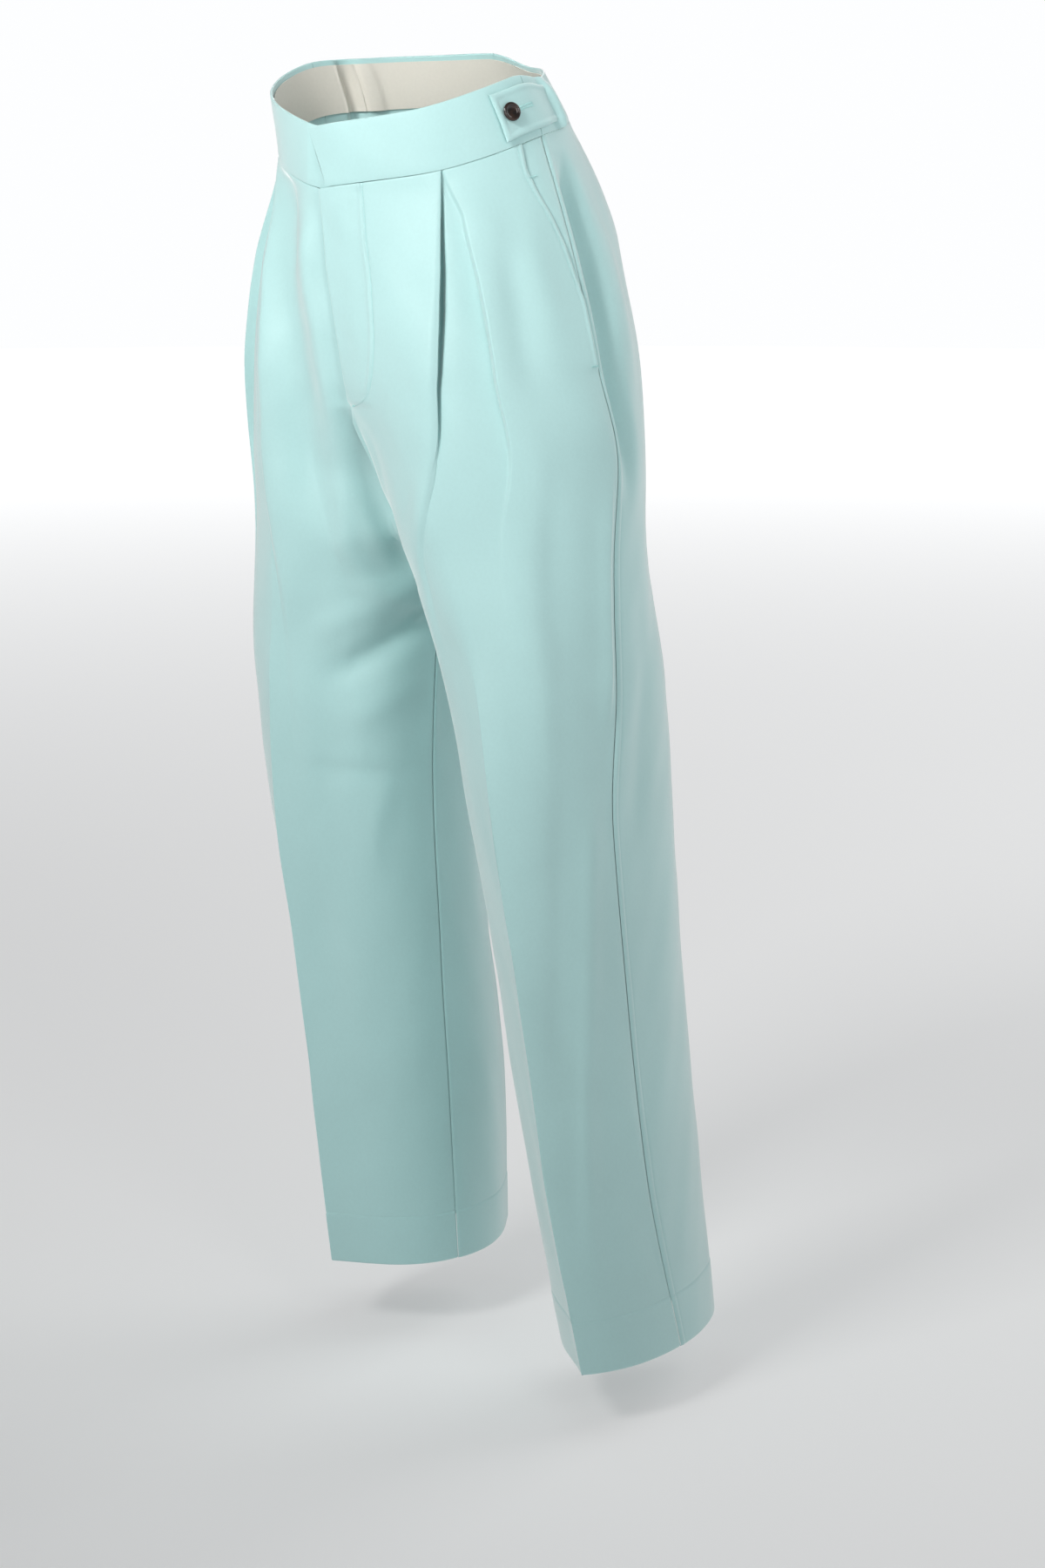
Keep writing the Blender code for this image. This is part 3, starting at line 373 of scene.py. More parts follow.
# creases of each panel: (v, s) points, height, half width, lopside, fades
CREASES = {
    (1, True): [
        ([(0.03, 0.052), (0.10, 0.062), (0.17, 0.066), (0.24, 0.070)], -0.0042, 0.013, 0.0, (0.4, 0.6)),
        ([(0.02, 0.035), (0.10, 0.036), (0.20, 0.036)], 0.0016, 0.012, 0.0, (0.4, 0.5)),
        ([(0.20, 0.078), (0.30, 0.078), (0.38, 0.079), (0.48, 0.073), (0.60, 0.062)], 0.0042, 0.016, -0.25, (0.3, 0.5)),
        ([(0.25, 0.010), (0.33, 0.008), (0.42, 0.008), (0.49, 0.012)], 0.0036, 0.0065, -0.3, (0.3, 0.3)),
        ([(0.222, 0.2640), (0.250, 0.2680), (0.285, 0.2690), (0.320, 0.2700)], 0.0030, 0.0090, 0.0, (0.3, 0.4)),
        ([(0.50, 0.022), (0.60, 0.033), (0.70, 0.046), (0.80, 0.060), (0.90, 0.074), (0.98, 0.082)], 0.0030, 0.010, 0.2, (0.2, 0.3)),
        ([(0.48, 0.050), (0.60, 0.060), (0.72, 0.074), (0.84, 0.088)], -0.0022, 0.012, 0.0, (0.3, 0.4)),
        ([(0.004, 0.172), (0.022, 0.1745)], -0.0012, 0.0035, 0.0, (0.1, 0.5)),
        ([(0.012, 0.176), (0.05, 0.192), (0.09, 0.204)], -0.0010, 0.007, 0.0, (0.1, 0.7)),
        ([(0.20, 0.170), (0.27, 0.185), (0.33, 0.205)], -0.0016, 0.014, 0.0, (0.4, 0.4)),
    ],
    (-1, True): [
        ([(-0.02, 0.120), (0.0195, 0.1400), (0.0742, 0.1660), (0.1387, 0.1930), (0.2053, 0.2110), (0.2729, 0.2200), (0.3225, 0.2180), (0.37, 0.208)], -0.0125, 0.0225, 0.15, (0.16, 0.30)),
        ([(0.0096, 0.1800), (0.0712, 0.2100), (0.1377, 0.2330), (0.2053, 0.2460), (0.2639, 0.2520), (0.300, 0.2460)], 0.0082, 0.0125, 0.20, (0.22, 0.35)),
        ([(0.2639, 0.2493), (0.3225, 0.2370), (0.3474, 0.2300), (0.3802, 0.2390), (0.3911, 0.2589), (0.397, 0.2796)], 0.0042, 0.0085, 0.0, (0.25, 0.10)),
        ([(0.232, 0.2600), (0.254, 0.2680), (0.3007, 0.2707), (0.3305, 0.2756), (0.3662, 0.2766), (0.3880, 0.2800)], -0.0085, 0.0095, 0.0, (0.34, 0.25)),
        ([(0.466, 0.180), (0.4520, 0.212), (0.4360, 0.244), (0.4180, 0.274), (0.410, 0.288)], -0.0085, 0.0125, 0.0, (0.45, 0.05)),
        ([(0.432, 0.175), (0.412, 0.210), (0.398, 0.245), (0.391, 0.265)], 0.0036, 0.0120, 0.0, (0.4, 0.3)),
        ([(0.505, 0.190), (0.490, 0.225), (0.472, 0.260), (0.462, 0.285)], 0.0030, 0.0150, 0.0, (0.4, 0.2)),
        ([(0.535, 0.150), (0.540, 0.190), (0.5431, 0.2354), (0.552, 0.270)], -0.0018, 0.009, 0.3, (0.5, 0.3)),
        ([(0.520, 0.247), (0.56, 0.235), (0.6007, 0.2162), (0.66, 0.200)], 0.0020, 0.010, 0.0, (0.4, 0.5)),
        ([(0.5182, 0.072), (0.537, 0.060), (0.553, 0.0532)], -0.0012, 0.005, 0.0, (0.4, 0.4)),
        ([(0.30, 0.110), (0.42, 0.100), (0.56, 0.095), (0.70, 0.098)], 0.0026, 0.018, 0.0, (0.4, 0.5)),
        ([(0.36, 0.190), (0.46, 0.200), (0.58, 0.180), (0.72, 0.165)], -0.0022, 0.017, 0.0, (0.4, 0.5)),
        ([(0.9524, 0.2346), (0.958, 0.2250)], -0.0009, 0.003, 0.0, (0.1, 0.5)),
        ([(0.60, 0.150), (0.72, 0.150), (0.84, 0.146)], -0.0016, 0.012, 0.0, (0.4, 0.5)),
    ],
    (1, False): [
        ([(0.010, 0.016), (0.045, 0.0215), (0.09, 0.0245), (0.15, 0.0235), (0.21, 0.0195), (0.27, 0.0150), (0.31, 0.0125)], -0.0150, 0.0112, 0.20, (0.14, 0.35)),
        ([(0.03, 0.044), (0.09, 0.050), (0.16, 0.050), (0.22, 0.046)], 0.0034, 0.013, 0.0, (0.4, 0.5)),
        ([(0.30, 0.030), (0.42, 0.038), (0.55, 0.034), (0.68, 0.030)], -0.0016, 0.014, 0.0, (0.4, 0.5)),
        ([(0.335, 0.275), (0.35, 0.22), (0.372, 0.165), (0.40, 0.120)], -0.0050, 0.013, 0.0, (0.15, 0.5)),
        ([(0.36, 0.29), (0.385, 0.24), (0.42, 0.19), (0.47, 0.155)], -0.0034, 0.013, 0.0, (0.15, 0.5)),
        ([(0.31, 0.23), (0.325, 0.18), (0.345, 0.12)], 0.0026, 0.014, 0.0, (0.3, 0.5)),
        ([(0.52, 0.24), (0.54, 0.20), (0.555, 0.16)], -0.0022, 0.009, 0.0, (0.3, 0.4)),
        ([(0.50, 0.20), (0.62, 0.19), (0.76, 0.17), (0.90, 0.15)], 0.0022, 0.013, 0.0, (0.4, 0.4)),
    ],
    (-1, False): [
        ([(0.012, 0.016), (0.045, 0.021), (0.09, 0.023), (0.14, 0.020), (0.18, 0.012)], -0.0048, 0.0105, 0.15, (0.2, 0.3)),
        ([(0.03, 0.044), (0.10, 0.050), (0.18, 0.048)], 0.0020, 0.013, 0.0, (0.4, 0.5)),
        ([(0.335, 0.275), (0.352, 0.22), (0.378, 0.165), (0.41, 0.115)], -0.0046, 0.012, 0.0, (0.15, 0.5)),
        ([(0.355, 0.29), (0.39, 0.23), (0.43, 0.18), (0.475, 0.150)], -0.0036, 0.013, 0.0, (0.15, 0.5)),
        ([(0.54, 0.245), (0.556, 0.20), (0.565, 0.155)], -0.0024, 0.009, 0.0, (0.3, 0.4)),
        ([(0.44, 0.20), (0.56, 0.19), (0.70, 0.18), (0.84, 0.165)], 0.0022, 0.014, 0.0, (0.4, 0.4)),
        ([(0.36, 0.06), (0.50, 0.07), (0.64, 0.068)], -0.0018, 0.014, 0.0, (0.4, 0.5)),
    ],
}
# slow unevenness of hanging cloth: (v waves, s waves, phase, height), the same few on every panel
WAVER = [(2.1, 9.0, 0.6, 0.00050), (5.3, 17.0, 2.2, 0.00028), (9.0, 6.0, 4.1, 0.00022), (14.0, 26.0, 1.3, 0.00012)]

FLY_END = 0.206
POCKET_V = (0.0, 0.02, 0.04, 0.06, 0.085, 0.107, 0.13)
POCKET_D = (0.0235, 0.0250, 0.0200, 0.0125, 0.0065, 0.0040, 0.0)
POCKET_LOW = 0.184      # where the pocket mouth ends on the side seam


# how far the left front's inner edge stops short of the centre (+) or runs over it (-), down the side
EDGE_V = (0.0, 0.035, 0.076, 0.106, 0.136, 0.154, 0.173, 0.192, 0.2075, 0.2155, 0.2255, 0.24, 0.27, 0.30, 0.325)
EDGE_L = (0.0012, 0.0030, 0.0026, 0.0052, 0.0068, 0.0080, 0.0088, 0.0084, 0.0040, 0.0, -0.0040, -0.0044, -0.0030, -0.0014, 0.0)
UNDER_R = 0.014


def seam_at(side, front, v):
    """How far from the side seam a panel's inner edge lies at v."""
    wide = Q[(side, front)].width(v)
    if not front or v > 0.325:
        return wide
    d = float(np.interp(v, EDGE_V, EDGE_L))
    if side > 0:
        return wide - d
    return wide + UNDER_R * (1 - float(smooth(v, 0.285, 0.325)))


def relief(side, front, v, s):
    """Height of the cloth over the base surface of its panel, without the overlap of the pleats."""
    q = Q[(side, front)]
    v, s = np.broadcast_arrays(np.asarray(v, float), np.asarray(s, float))
    h = np.zeros(v.shape)
    inside = smooth(v, 0.0, 0.02) * (1 - 0.7 * smooth(v, q.end - 0.06, q.end))
    for line, amp, wide, lop, fade in CREASES[(side, front)]:
        h = h + crease(v, s, line, amp, wide, lop, fade)
    for fv, fs, ph, amp in WAVER:
        h = h + amp * inside * np.sin(2 * math.pi * (fv * v + fs * s) + ph + side + 2 * front)
    flat = np.unique(v)
    wide_at = np.interp(v, flat, [q.width(x) for x in flat])
    to_end = np.interp(v, flat, [seam_at(side, front, x) for x in flat]) - s
    h = h * smooth(s, -0.001, 0.010) * smooth(to_end, -0.001, 0.010) * smooth(v, -0.001, 0.012)
    # seams roll down into their joint
    seam = lambda d, deep, reach: -deep * np.exp(-(np.maximum(d, 0) / reach) ** 2)
    low = np.interp(v, POCKET_V, POCKET_D, right=0.0)
    if front:
        mouth = 1 - smooth(v, POCKET_LOW - 0.004, POCKET_LOW + 0.004)
        d = s - low
        h = h + mouth * (0.0017 * np.exp(-(np.maximum(d, 0) / 0.016) ** 2) - 0.0013 * np.exp(-(np.maximum(d, 0) / 0.0011) ** 2) + 0.0005 * np.exp(-((d - 0.0032) / 0.0018) ** 2) - 0.0004 * np.exp(-((d - 0.0054) / 0.0009) ** 2))
        h = h + (1 - mouth) * seam(s, 0.0008, 0.0012)
    else:
        h = h + seam(s, 0.0008, 0.0012) + 0.0004 * np.exp(-((s - 0.0035) / 0.0022) ** 2) - 0.0004 * np.exp(-((s - 0.0062) / 0.0009) ** 2) * smooth(v, 0.19, 0.2)
    if front and side > 0:
        lap = 1 - smooth(v, FLY_END - 0.004, FLY_END + 0.004)
        h = h + lap * (0.0024 * (1 - smooth(to_end, 0.022, 0.050)) - 0.0010 * np.exp(-(np.maximum(to_end, 0) / 0.0009) ** 2)) + (1 - lap) * seam(to_end, 0.0008, 0.0012)
        stitch = along(J_LINE, 1, v)
        on = (1 - smooth(v, 0.194, 0.199))
        h = h - on * 0.0006 * np.exp(-((s - stitch) / 0.0012) ** 2) + on * 0.0008 * np.exp(-((s - stitch - 0.003) / 0.002) ** 2)
    elif front:
        lap = 1 - smooth(v, FLY_END - 0.004, FLY_END + 0.004)
        h = h - lap * 0.0016 * (1 - smooth(to_end, 0.010, 0.040)) + (1 - lap) * seam(to_end, 0.0008, 0.0012)
        # below the fly the right front tucks under the left one
        h = h - 0.0070 * smooth(v, 0.203, 0.240) * (1 - smooth(v, 0.292, 0.330)) * (1 - smooth(wide_at - s, 0.000, 0.017))
    else:
        h = h + seam(to_end, 0.0008, 0.0012)
    # waist seam, turned hem and its folded lower edge
    h = h - 0.0003 * np.exp(-(np.maximum(v, 0) / 0.0009) ** 2)
    hem = q.end - HEM_DEPTH
    h = h + 0.00045 * smooth(v, hem - 0.0008, hem + 0.0008) - 0.00035 * np.exp(-((v - hem) / 0.0010) ** 2)
    h = h - 0.0010 * np.exp(-(np.maximum(q.end - v, 0) / 0.0007) ** 2)
    return h


# the fly's topstitch on the left front: v, s
J_LINE = [(0.0, 0.1665), (0.0169, 0.1695), (0.0468, 0.1761), (0.0778, 0.1820), (0.1187, 0.1912), (0.1516, 0.2000), (0.1656, 0.2046),
          (0.1800, 0.2105), (0.1890, 0.2155), (0.1965, 0.2225), (0.2020, 0.2320), (0.2060, 0.2450), (0.2082, 0.2600)]


def step_of_pleats(side, v, s):
    """Height of the fold that faces the middle: sharp on its inner side, soft towards the side seam."""
    ridge = along(PLEATS[side], 2, v)
    deep = along(PLEAT_FORM, 4, v)
    edge = along(PLEATS[side], 1, v)
    x = s - ridge
    room = np.maximum(edge - ridge, 0.004)
    fall = smooth(x, -0.0006, 0.0032)
    rise = np.exp(-(np.maximum(-x, 0) / 0.026) ** 2)
    back = 1 - smooth(x, 0.0032, 0.85 * room)
    out = np.where(x < 0.0032, deep * 0.55 * rise - deep * 1.1 * fall, deep * 0.55 - deep * 1.1 + deep * 0.45 * (1 - back))
    return np.where(s < edge, out, 0.0)


# ================================================================ meshes
def mesh_object(name, verts, faces, mat, uv=None, sharp=55.0):
    mesh = bpy.data.meshes.new(name)
    mesh.from_pydata(np.asarray(verts).tolist(), [], np.asarray(faces).tolist() if isinstance(faces, np.ndarray) else faces)
    if uv is not None:
        layer = mesh.uv_layers.new(name="cut")
        loops = np.empty(len(mesh.loops), np.int32)
        mesh.loops.foreach_get("vertex_index", loops)
        layer.data.foreach_set("uv", np.asarray(uv, np.float32)[loops].reshape(-1))
    mesh.materials.append(mat)
    mesh.shade_smooth()
    mesh.set_sharp_from_angle(angle=math.radians(sharp))
    obj = bpy.data.objects.new(name, mesh)
    bpy.context.scene.collection.objects.link(obj)
    return obj


def sheet_mesh(name, outer, inner, mat, uv, loop=False):
    """A closed thin shell between two grids, its faces pointing out."""
    nv, nu = outer.shape[:2]
    idx = np.arange(nv * nu).reshape(nv, nu)
    jd = idx + nv * nu
    a, b, c, d = idx[:-1, :-1], idx[:-1, 1:], idx[1:, 1:], idx[1:, :-1]
    e, f, g, h = jd[:-1, :-1], jd[:-1, 1:], jd[1:, 1:], jd[1:, :-1]
    quads = [np.stack([a, b, c, d], -1).reshape(-1, 4), np.stack([e, h, g, f], -1).reshape(-1, 4)]
    quads.append(np.stack([idx[0, 1:], idx[0, :-1], jd[0, :-1], jd[0, 1:]], -1))
    quads.append(np.stack([idx[-1, :-1], idx[-1, 1:], jd[-1, 1:], jd[-1, :-1]], -1))
    if not loop:
        quads.append(np.stack([idx[:-1, 0], idx[1:, 0], jd[1:, 0], jd[:-1, 0]], -1))
        quads.append(np.stack([idx[1:, -1], idx[:-1, -1], jd[:-1, -1], jd[1:, -1]], -1))
    faces = np.concatenate(quads)
    verts = np.concatenate([outer.reshape(-1, 3), inner.reshape(-1, 3)])
    mid = (nv // 2, nu // 2)
    n = np.cross(outer[mid[0], mid[1] + 1] - outer[mid], outer[mid[0] + 1, mid[1]] - outer[mid])
    if np.dot(n, outer[mid] - inner[mid]) < 0:
        faces = faces[:, ::-1]
    return mesh_object(name, verts, faces, mat, np.concatenate([uv.reshape(-1, 2)] * 2))


def tube_mesh(name, rings, mat, uv, sharp=60.0):
    """A closed bar swept through rings (steps, points, 3), with flat ends."""
    ns, npt = rings.shape[:2]
    idx = np.arange(ns * npt).reshape(ns, npt)
    nxt = np.roll(idx, -1, axis=1)
    quads = np.stack([idx[:-1], nxt[:-1], nxt[1:], idx[1:]], -1).reshape(-1, 4).tolist()
    caps = [idx[0][::-1].tolist(), idx[-1].tolist()]
    verts = rings.reshape(-1, 3)
    mid = rings[ns // 2]
    a, b, c = mid[0], mid[1], rings[ns // 2 + 1, 0]
    if np.dot(np.cross(b - a, c - a), a - mid.mean(0)) < 0:
        quads = [q[::-1] for q in quads]
        caps = [q[::-1] for q in caps]
    return mesh_object(name, verts, quads + caps, mat, uv.reshape(-1, 2), sharp)


def capsules(name, runs, mat, radius=0.00019, sides=6):
    """Stitches as one mesh: runs is a list of (from, to) points, each a bar with pinched ends."""
    verts, faces = [], []
    base = 0
    for p, q in runs:
        p, q = np.asarray(p, float), np.asarray(q, float)
        d = q - p
        ln = np.linalg.norm(d)
        z = d / ln
        x = np.cross(z, [0.31, 0.52, 0.79])
        x /= np.linalg.norm(x)
        y = np.cross(z, x)
        ang = np.linspace(0, 2 * math.pi, sides, endpoint=False)
        circ = np.cos(ang)[:, None] * x + np.sin(ang)[:, None] * y
        for t, r in ((0.0, 0.35), (0.16, 0.9), (0.5, 1.0), (0.84, 0.9), (1.0, 0.35)):
            verts.append(p + z * ln * t + circ * radius * r)
        for k in range(4):
            for i in range(sides):
                j = (i + 1) % sides
                a, b = base + k * sides, base + (k + 1) * sides
                faces.append((a + i, a + j, b + j, b + i))
        faces.append(tuple(base + i for i in range(sides))[::-1])
        faces.append(tuple(base + 4 * sides + i for i in range(sides)))
        base += 5 * sides
    verts = np.concatenate(verts)
    return mesh_object(name, verts, faces, mat, verts[:, [0, 2]], 80.0)


# ================================================================ panels
def cuts(knots, counts):
    """Columns between knots, evenly in each run."""
    out = [knots[0]]
    for a, b, n in zip(knots[:-1], knots[1:], counts):
        out.extend(a + (b - a) * (np.arange(1, n + 1) / n))
    return np.array(out)


def panel_rows(end):
    hem = end - HEM_DEPTH
    return np.unique(np.concatenate([
        [0.0, 0.0006, 0.0012, 0.0020, 0.0032, 0.0048, 0.0068], np.linspace(0.009, 0.30, 98), np.linspace(0.304, 0.62, 74), np.linspace(0.626, hem - 0.006, 50),
        hem + np.array([-0.003, -0.0014, -0.0006, 0.0, 0.0006, 0.0014, 0.003]), np.linspace(hem + 0.007, end - 0.004, 12), end - np.array([0.0022, 0.0012, 0.0006, 0.0002, 0.0])]))



def place(side, front, v, s, h):
    """Points at height h over a panel; past the centre of the fronts they follow the other front."""
    q = Q[(side, front)]
    p, n = q.at(v, s)
    wide = q.width(v)
    over = s > wide
    if front and over.any() and v < 0.34:
        o = Q[(-side, True)]
        p2, n2 = o.at(v, o.width(v) - (s[over] - wide))
        mix = smooth(s[over] - wide, 0.0, 0.004)[:, None]
        p[over], n[over] = p2, n[over] * (1 - mix) + n2 * mix
    return p + n * np.asarray(h)[:, None]


def shell_of(grid, wall, side, front):
    n = grid_normals(grid)
    mid = n[n.shape[0] // 2, 3 * n.shape[1] // 4]
    if np.dot(mid, [side * 0.8, -1.0 if front else 1.0, 0.0]) < 0:
        n = -n
    return grid - n * wall


def front_panel(side):
    q = Q[(side, True)]
    vs = panel_rows(q.end)
    rows, uv = [], []
    for v in vs:
        wide = q.width(v)
        low = float(np.interp(v, POCKET_V, POCKET_D, right=0.0)) + GAP / 2
        end = wide - GAP / 2
        if v < 0.325:
            end = seam_at(side, True, v) - GAP / 2
        edge = float(along(PLEATS[side], 1, v))
        ridge = float(along(PLEATS[side], 2, v))
        if v > 0.30:     # below the pleats the same columns spread out towards the crease
            t = smooth(v, 0.30, 0.46)
            edge = edge * (1 - t) + q.crease(v) * t
            ridge = ridge * (1 - t) + 0.62 * q.crease(v) * t
        under, k, gape = float(along(PLEAT_FORM, 1, v)), float(along(PLEAT_FORM, 3, v)), float(along(PLEAT_FORM, 7, v))
        pinch = 1 - 0.55 * (1 - smooth(v, 0.0, 0.012))
        r1, r2 = 0.00045 * pinch, 0.00090 * pinch
        a0 = min(low + 0.010, ridge - 0.012)
        lip = edge - gape - 0.0040
        sl = cuts([low, a0, ridge - 0.006, min(ridge + 0.0045, lip - 0.002), lip, edge + under], [8, 13, 14, 9, 13])
        sl_flat = cuts([low, a0, ridge - 0.006, min(ridge + 0.0045, lip - 0.002), edge - 0.003, edge], [8, 13, 14, 9, 13])
        js = min(max(float(along(J_LINE, 1, min(v, 0.19))), edge + 0.028), end - 0.020)     # closer columns along the fly's topstitch
        tail = cuts([edge + r2, edge + 0.010, edge + 0.022, js - 0.0025, js + 0.0055, end - 0.008, end], [9, 8, 8, 11, 9, 9])
        tail_flat = cuts([edge + 0.004, edge + 0.011, edge + 0.023, js - 0.0025, js + 0.0055, end - 0.008, end], [9, 8, 8, 11, 9, 9])
        base = lambda s: relief(side, True, np.full(s.shape, v), s)
        drop = 0.0010 * k * pinch * np.exp(-(np.maximum(edge - sl, 0) / 0.010) ** 2)
        drop = drop + k * (2.6 * gape + 0.0006) * smooth(sl, edge - gape - 0.0016, edge + 0.0030)
        hl = base(sl) - drop + step_of_pleats(side, v, np.minimum(sl, edge - 1e-5))
        ht = base(tail) + top_of_pleat(side, v, tail)
        top0, low1 = ht[0], hl[-1]
        th = np.radians(np.linspace(-60, 90, 5))
        s_u1, h_u1 = edge + under + r1 * np.cos(th), low1 + r1 + r1 * np.sin(th)
        ph = np.radians(np.linspace(-90, 66, 7))
        s_u2, h_u2 = edge + r2 - r2 * np.cos(ph), top0 - r2 + r2 * np.sin(ph)
        m = np.linspace(0, 1, 6)[1:-1]
        s_m, h_m = s_u1[-1] + (s_u2[0] - s_u1[-1]) * m, h_u1[-1] + (h_u2[0] - h_u1[-1]) * m
        s_fold = np.concatenate([sl, s_u1, s_m, s_u2, tail])
        h_fold = np.concatenate([hl, h_u1, h_m, h_u2, ht])
        mid_flat = np.linspace(edge, edge + 0.004, len(s_u1) + len(s_m) + len(s_u2) + 2)[1:-1]
        s_flat = np.concatenate([sl_flat, mid_flat, tail_flat])
        h_flat = base(s_flat) + step_of_pleats(side, v, np.minimum(s_flat, edge - 1e-5)) * (s_flat < edge) + np.where(s_flat > edge, top_of_pleat(side, v, s_flat), 0.0)
        s = s_fold * k + s_flat * (1 - k)
        h = h_fold * k + h_flat * (1 - k)
        rows.append(place(side, True, v, s, h))
        run = np.concatenate([[0], np.cumsum(np.hypot(np.diff(s), np.diff(h)))])
        uv.append(np.stack([low + run, np.full(len(s), -v)], -1))
    grid = np.array(rows)
    grid[:, :, 2] -= 0.0002
    obj = sheet_mesh("left_front" if side > 0 else "right_front", grid, shell_of(grid, 0.0006, side, True), CLOTH, np.array(uv))
    return obj


def back_panel(side):
    q = Q[(side, False)]
    vs = panel_rows(q.end)
    rows, uv = [], []
    for v in vs:
        wide = q.width(v)
        s = cuts([GAP / 2, 0.010, 0.040, wide * 0.5, wide - 0.030, wide - 0.008, wide - GAP / 2], [10, 14, 22, 22, 10, 8])
        h = relief(side, False, np.full(s.shape, v), s)
        # the waist dart: a short seam that tapers out
        dart_s, dart_end = 0.098, 0.085
        d = (s - dart_s) / 0.0011
        h = h - 0.0007 * np.exp(-d * d) * (1 - smooth(v, dart_end - 0.02, dart_end)) + 0.0005 * np.exp(-((s - dart_s) / 0.006) ** 2) * (1 - smooth(v, dart_end - 0.04, dart_end + 0.01))
        rows.append(place(side, False, v, s, h))
        uv.append(np.stack([s, np.full(len(s), -v)], -1))
    grid = np.array(rows)
    grid[:, :, 2] -= 0.0002
    return sheet_mesh("left_back" if side > 0 else "right_back", grid, shell_of(grid, 0.0006, side, False), CLOTH, np.array(uv))


# ================================================================ waist
RIM = -0.0515


def side_line(side, v, dist):
    """Points and normals round the waist at distances from the side seam, + to the front."""
    dist = np.asarray(dist, float)
    fp, fn = Q[(side, True)].at(v, np.maximum(dist, 0))
    bp, bn = Q[(side, False)].at(v, np.maximum(-dist, 0))
    w = smooth(dist, -0.006, 0.006)[:, None]
    p = np.where(dist[:, None] >= 0, fp, bp)
    if side > 0 and v < 0:      # the rim dips behind the left side, where the tab pulls it in
        dip = 0.0105 * min(-v / 0.052, 1.05) * smooth(-dist, -0.012, 0.040) * (1 - smooth(-dist, 0.11, 0.185))
        p = p - np.array([0, 0, 1.0]) * dip[:, None]
    n = bn * (1 - w) + fn * w
    return p, n / np.linalg.norm(n, axis=1, keepdims=True)


def fold_of_back(side, v, dist):
    """The soft fold that the tab pulls up in the back waistband."""
    t = (np.clip(v, RIM, 0) - RIM) / -RIM
    at = -(0.0280 + 0.0030 * t)
    size = 0.0078 * smooth(t, -0.25, 0.40) * (1 - 0.2 * smooth(t, 0.8, 1.0))
    x = dist - at
    wide = np.where(x > 0, 0.0052, 0.0085)
    return size * np.exp(-np.abs(x / wide) ** 2.6) - 0.25 * size * np.exp(-((x + 0.020) / 0.008) ** 2)


def band_height(side, v, dist):
    h = 0.0009 + 0.0004 * np.sin(dist * 90 + v * 60 + side) * smooth(-v, 0.0, 0.02)
    if np.ndim(dist):
        h = h + fold_of_back(side, v, dist)
    return h


PROFILE = []     # round the cut of the band: share of the height, share of the wall (0 outside, 1 inside)
for _a in np.linspace(0, 1, 15):
    PROFILE.append((0.0004 + (-RIM - 0.0012 - 0.0004) * _a, 0.0))
for _t in np.radians([20, 45, 70, 90, 110, 135, 160]):
    PROFILE.append((-RIM - 0.0012 + 0.0012 * math.sin(_t), 0.5 - 0.5 * math.cos(_t)))
for _a in np.linspace(1, 0, 9):
    PROFILE.append((0.0010 + (-RIM - 0.0012 - 0.0010) * _a, 1.0))


def band(name, side_cols, sink=None):
    """A doubled waistband swept round: side_cols is a list of (side, dist)."""
    rings = []
    uv = []
    run = 0.0
    for i, (side, dist) in enumerate(side_cols):
        ring = []
        for up, wall in PROFILE:
            v = -up
            p, n = side_line(side, v, [dist])
            puff = 0.00035 * math.sin(math.pi * min(up / -RIM, 1.0)) * (1 - wall)
            h = float(np.asarray(band_height(side, v, np.array([dist])))[0]) + puff - wall * BAND_WALL
            h -= 0.0006 * math.exp(-(up / 0.0007) ** 2) * (1 - wall)
            if sink is not None:
                h -= sink(side, dist)
            ring.append(p[0] + n[0] * h)
        rings.append(ring)
        if i:
            run += float(np.linalg.norm(np.array(rings[-1][5]) - np.array(rings[-2][5])))
        uv.append([(run, up * (1 - 2 * wall)) for up, wall in PROFILE])
    return tube_mesh(name, np.array(rings), CLOTH, np.array(uv))


def front_width(side):
    return Q[(side, True)].width(-0.02)


def tab(side):
    """The side tab: a doubled strip with rounded edges, buttoned over the waistband."""
    name = "side_tab_left_strip" if side > 0 else "side_tab_right_strip"
    back, fore, top, foot = -0.0240, 0.0385, -0.0440, -0.0060
    nd, nv = 90, 34
    e = lambda n: 0.5 - 0.5 * np.cos(np.pi * np.linspace(0, 1, n)) * (0.72 + 0.28 * np.abs(np.cos(np.pi * np.linspace(0, 1, n))))
    ds = back + (fore - back) * e(nd)
    ts = e(nv)
    outer, inner, uv = [], [], []
    for t in ts:
        line_o, line_i, line_uv = [], [], []
        for d in ds:
            tight = 0.0012 * smooth(-d, 0.004, 0.020)           # narrower where it goes into the fold
            v = (top + tight) + (foot - top - 2 * tight) * t
            v += 0.0018 * smooth(d, 0.020, fore) * (t - 0.35)
            p, n = side_line(side, v, [d])
            room = min(d - back + 0.004, fore - d, (v - top - tight), (foot - tight - v) + 0.0018 * smooth(d, 0.02, fore))
            room = max(room, 0.0)
            rnd = math.sqrt(max(0.0, 1 - (1 - min(room / 0.0014, 1.0)) ** 2))
            puff = 0.00045 * math.exp(-((room - 0.0030) / 0.0022) ** 2) - 0.00030 * math.exp(-((room - 0.0056) / 0.0008) ** 2)
            sit = 0.0017 + 0.0012 * smooth(d, 0.024, fore) - 0.0006 * math.exp(-((d - 0.026) / 0.008) ** 2)
            wave = 0.0003 * math.sin(d * 160 + t * 3.0)
            mid = sit + TAB_WALL / 2
            line_o.append(p[0] + n[0] * (mid + (TAB_WALL / 2 + puff + wave) * rnd))
            line_i.append(p[0] + n[0] * (mid - TAB_WALL / 2 * rnd * 0.9 - 0.00002))
            line_uv.append((d, -v))
        outer.append(line_o); inner.append(line_i); uv.append(line_uv)
    return sheet_mesh(name, np.array(outer), np.array(inner), CLOTH, np.array(uv))


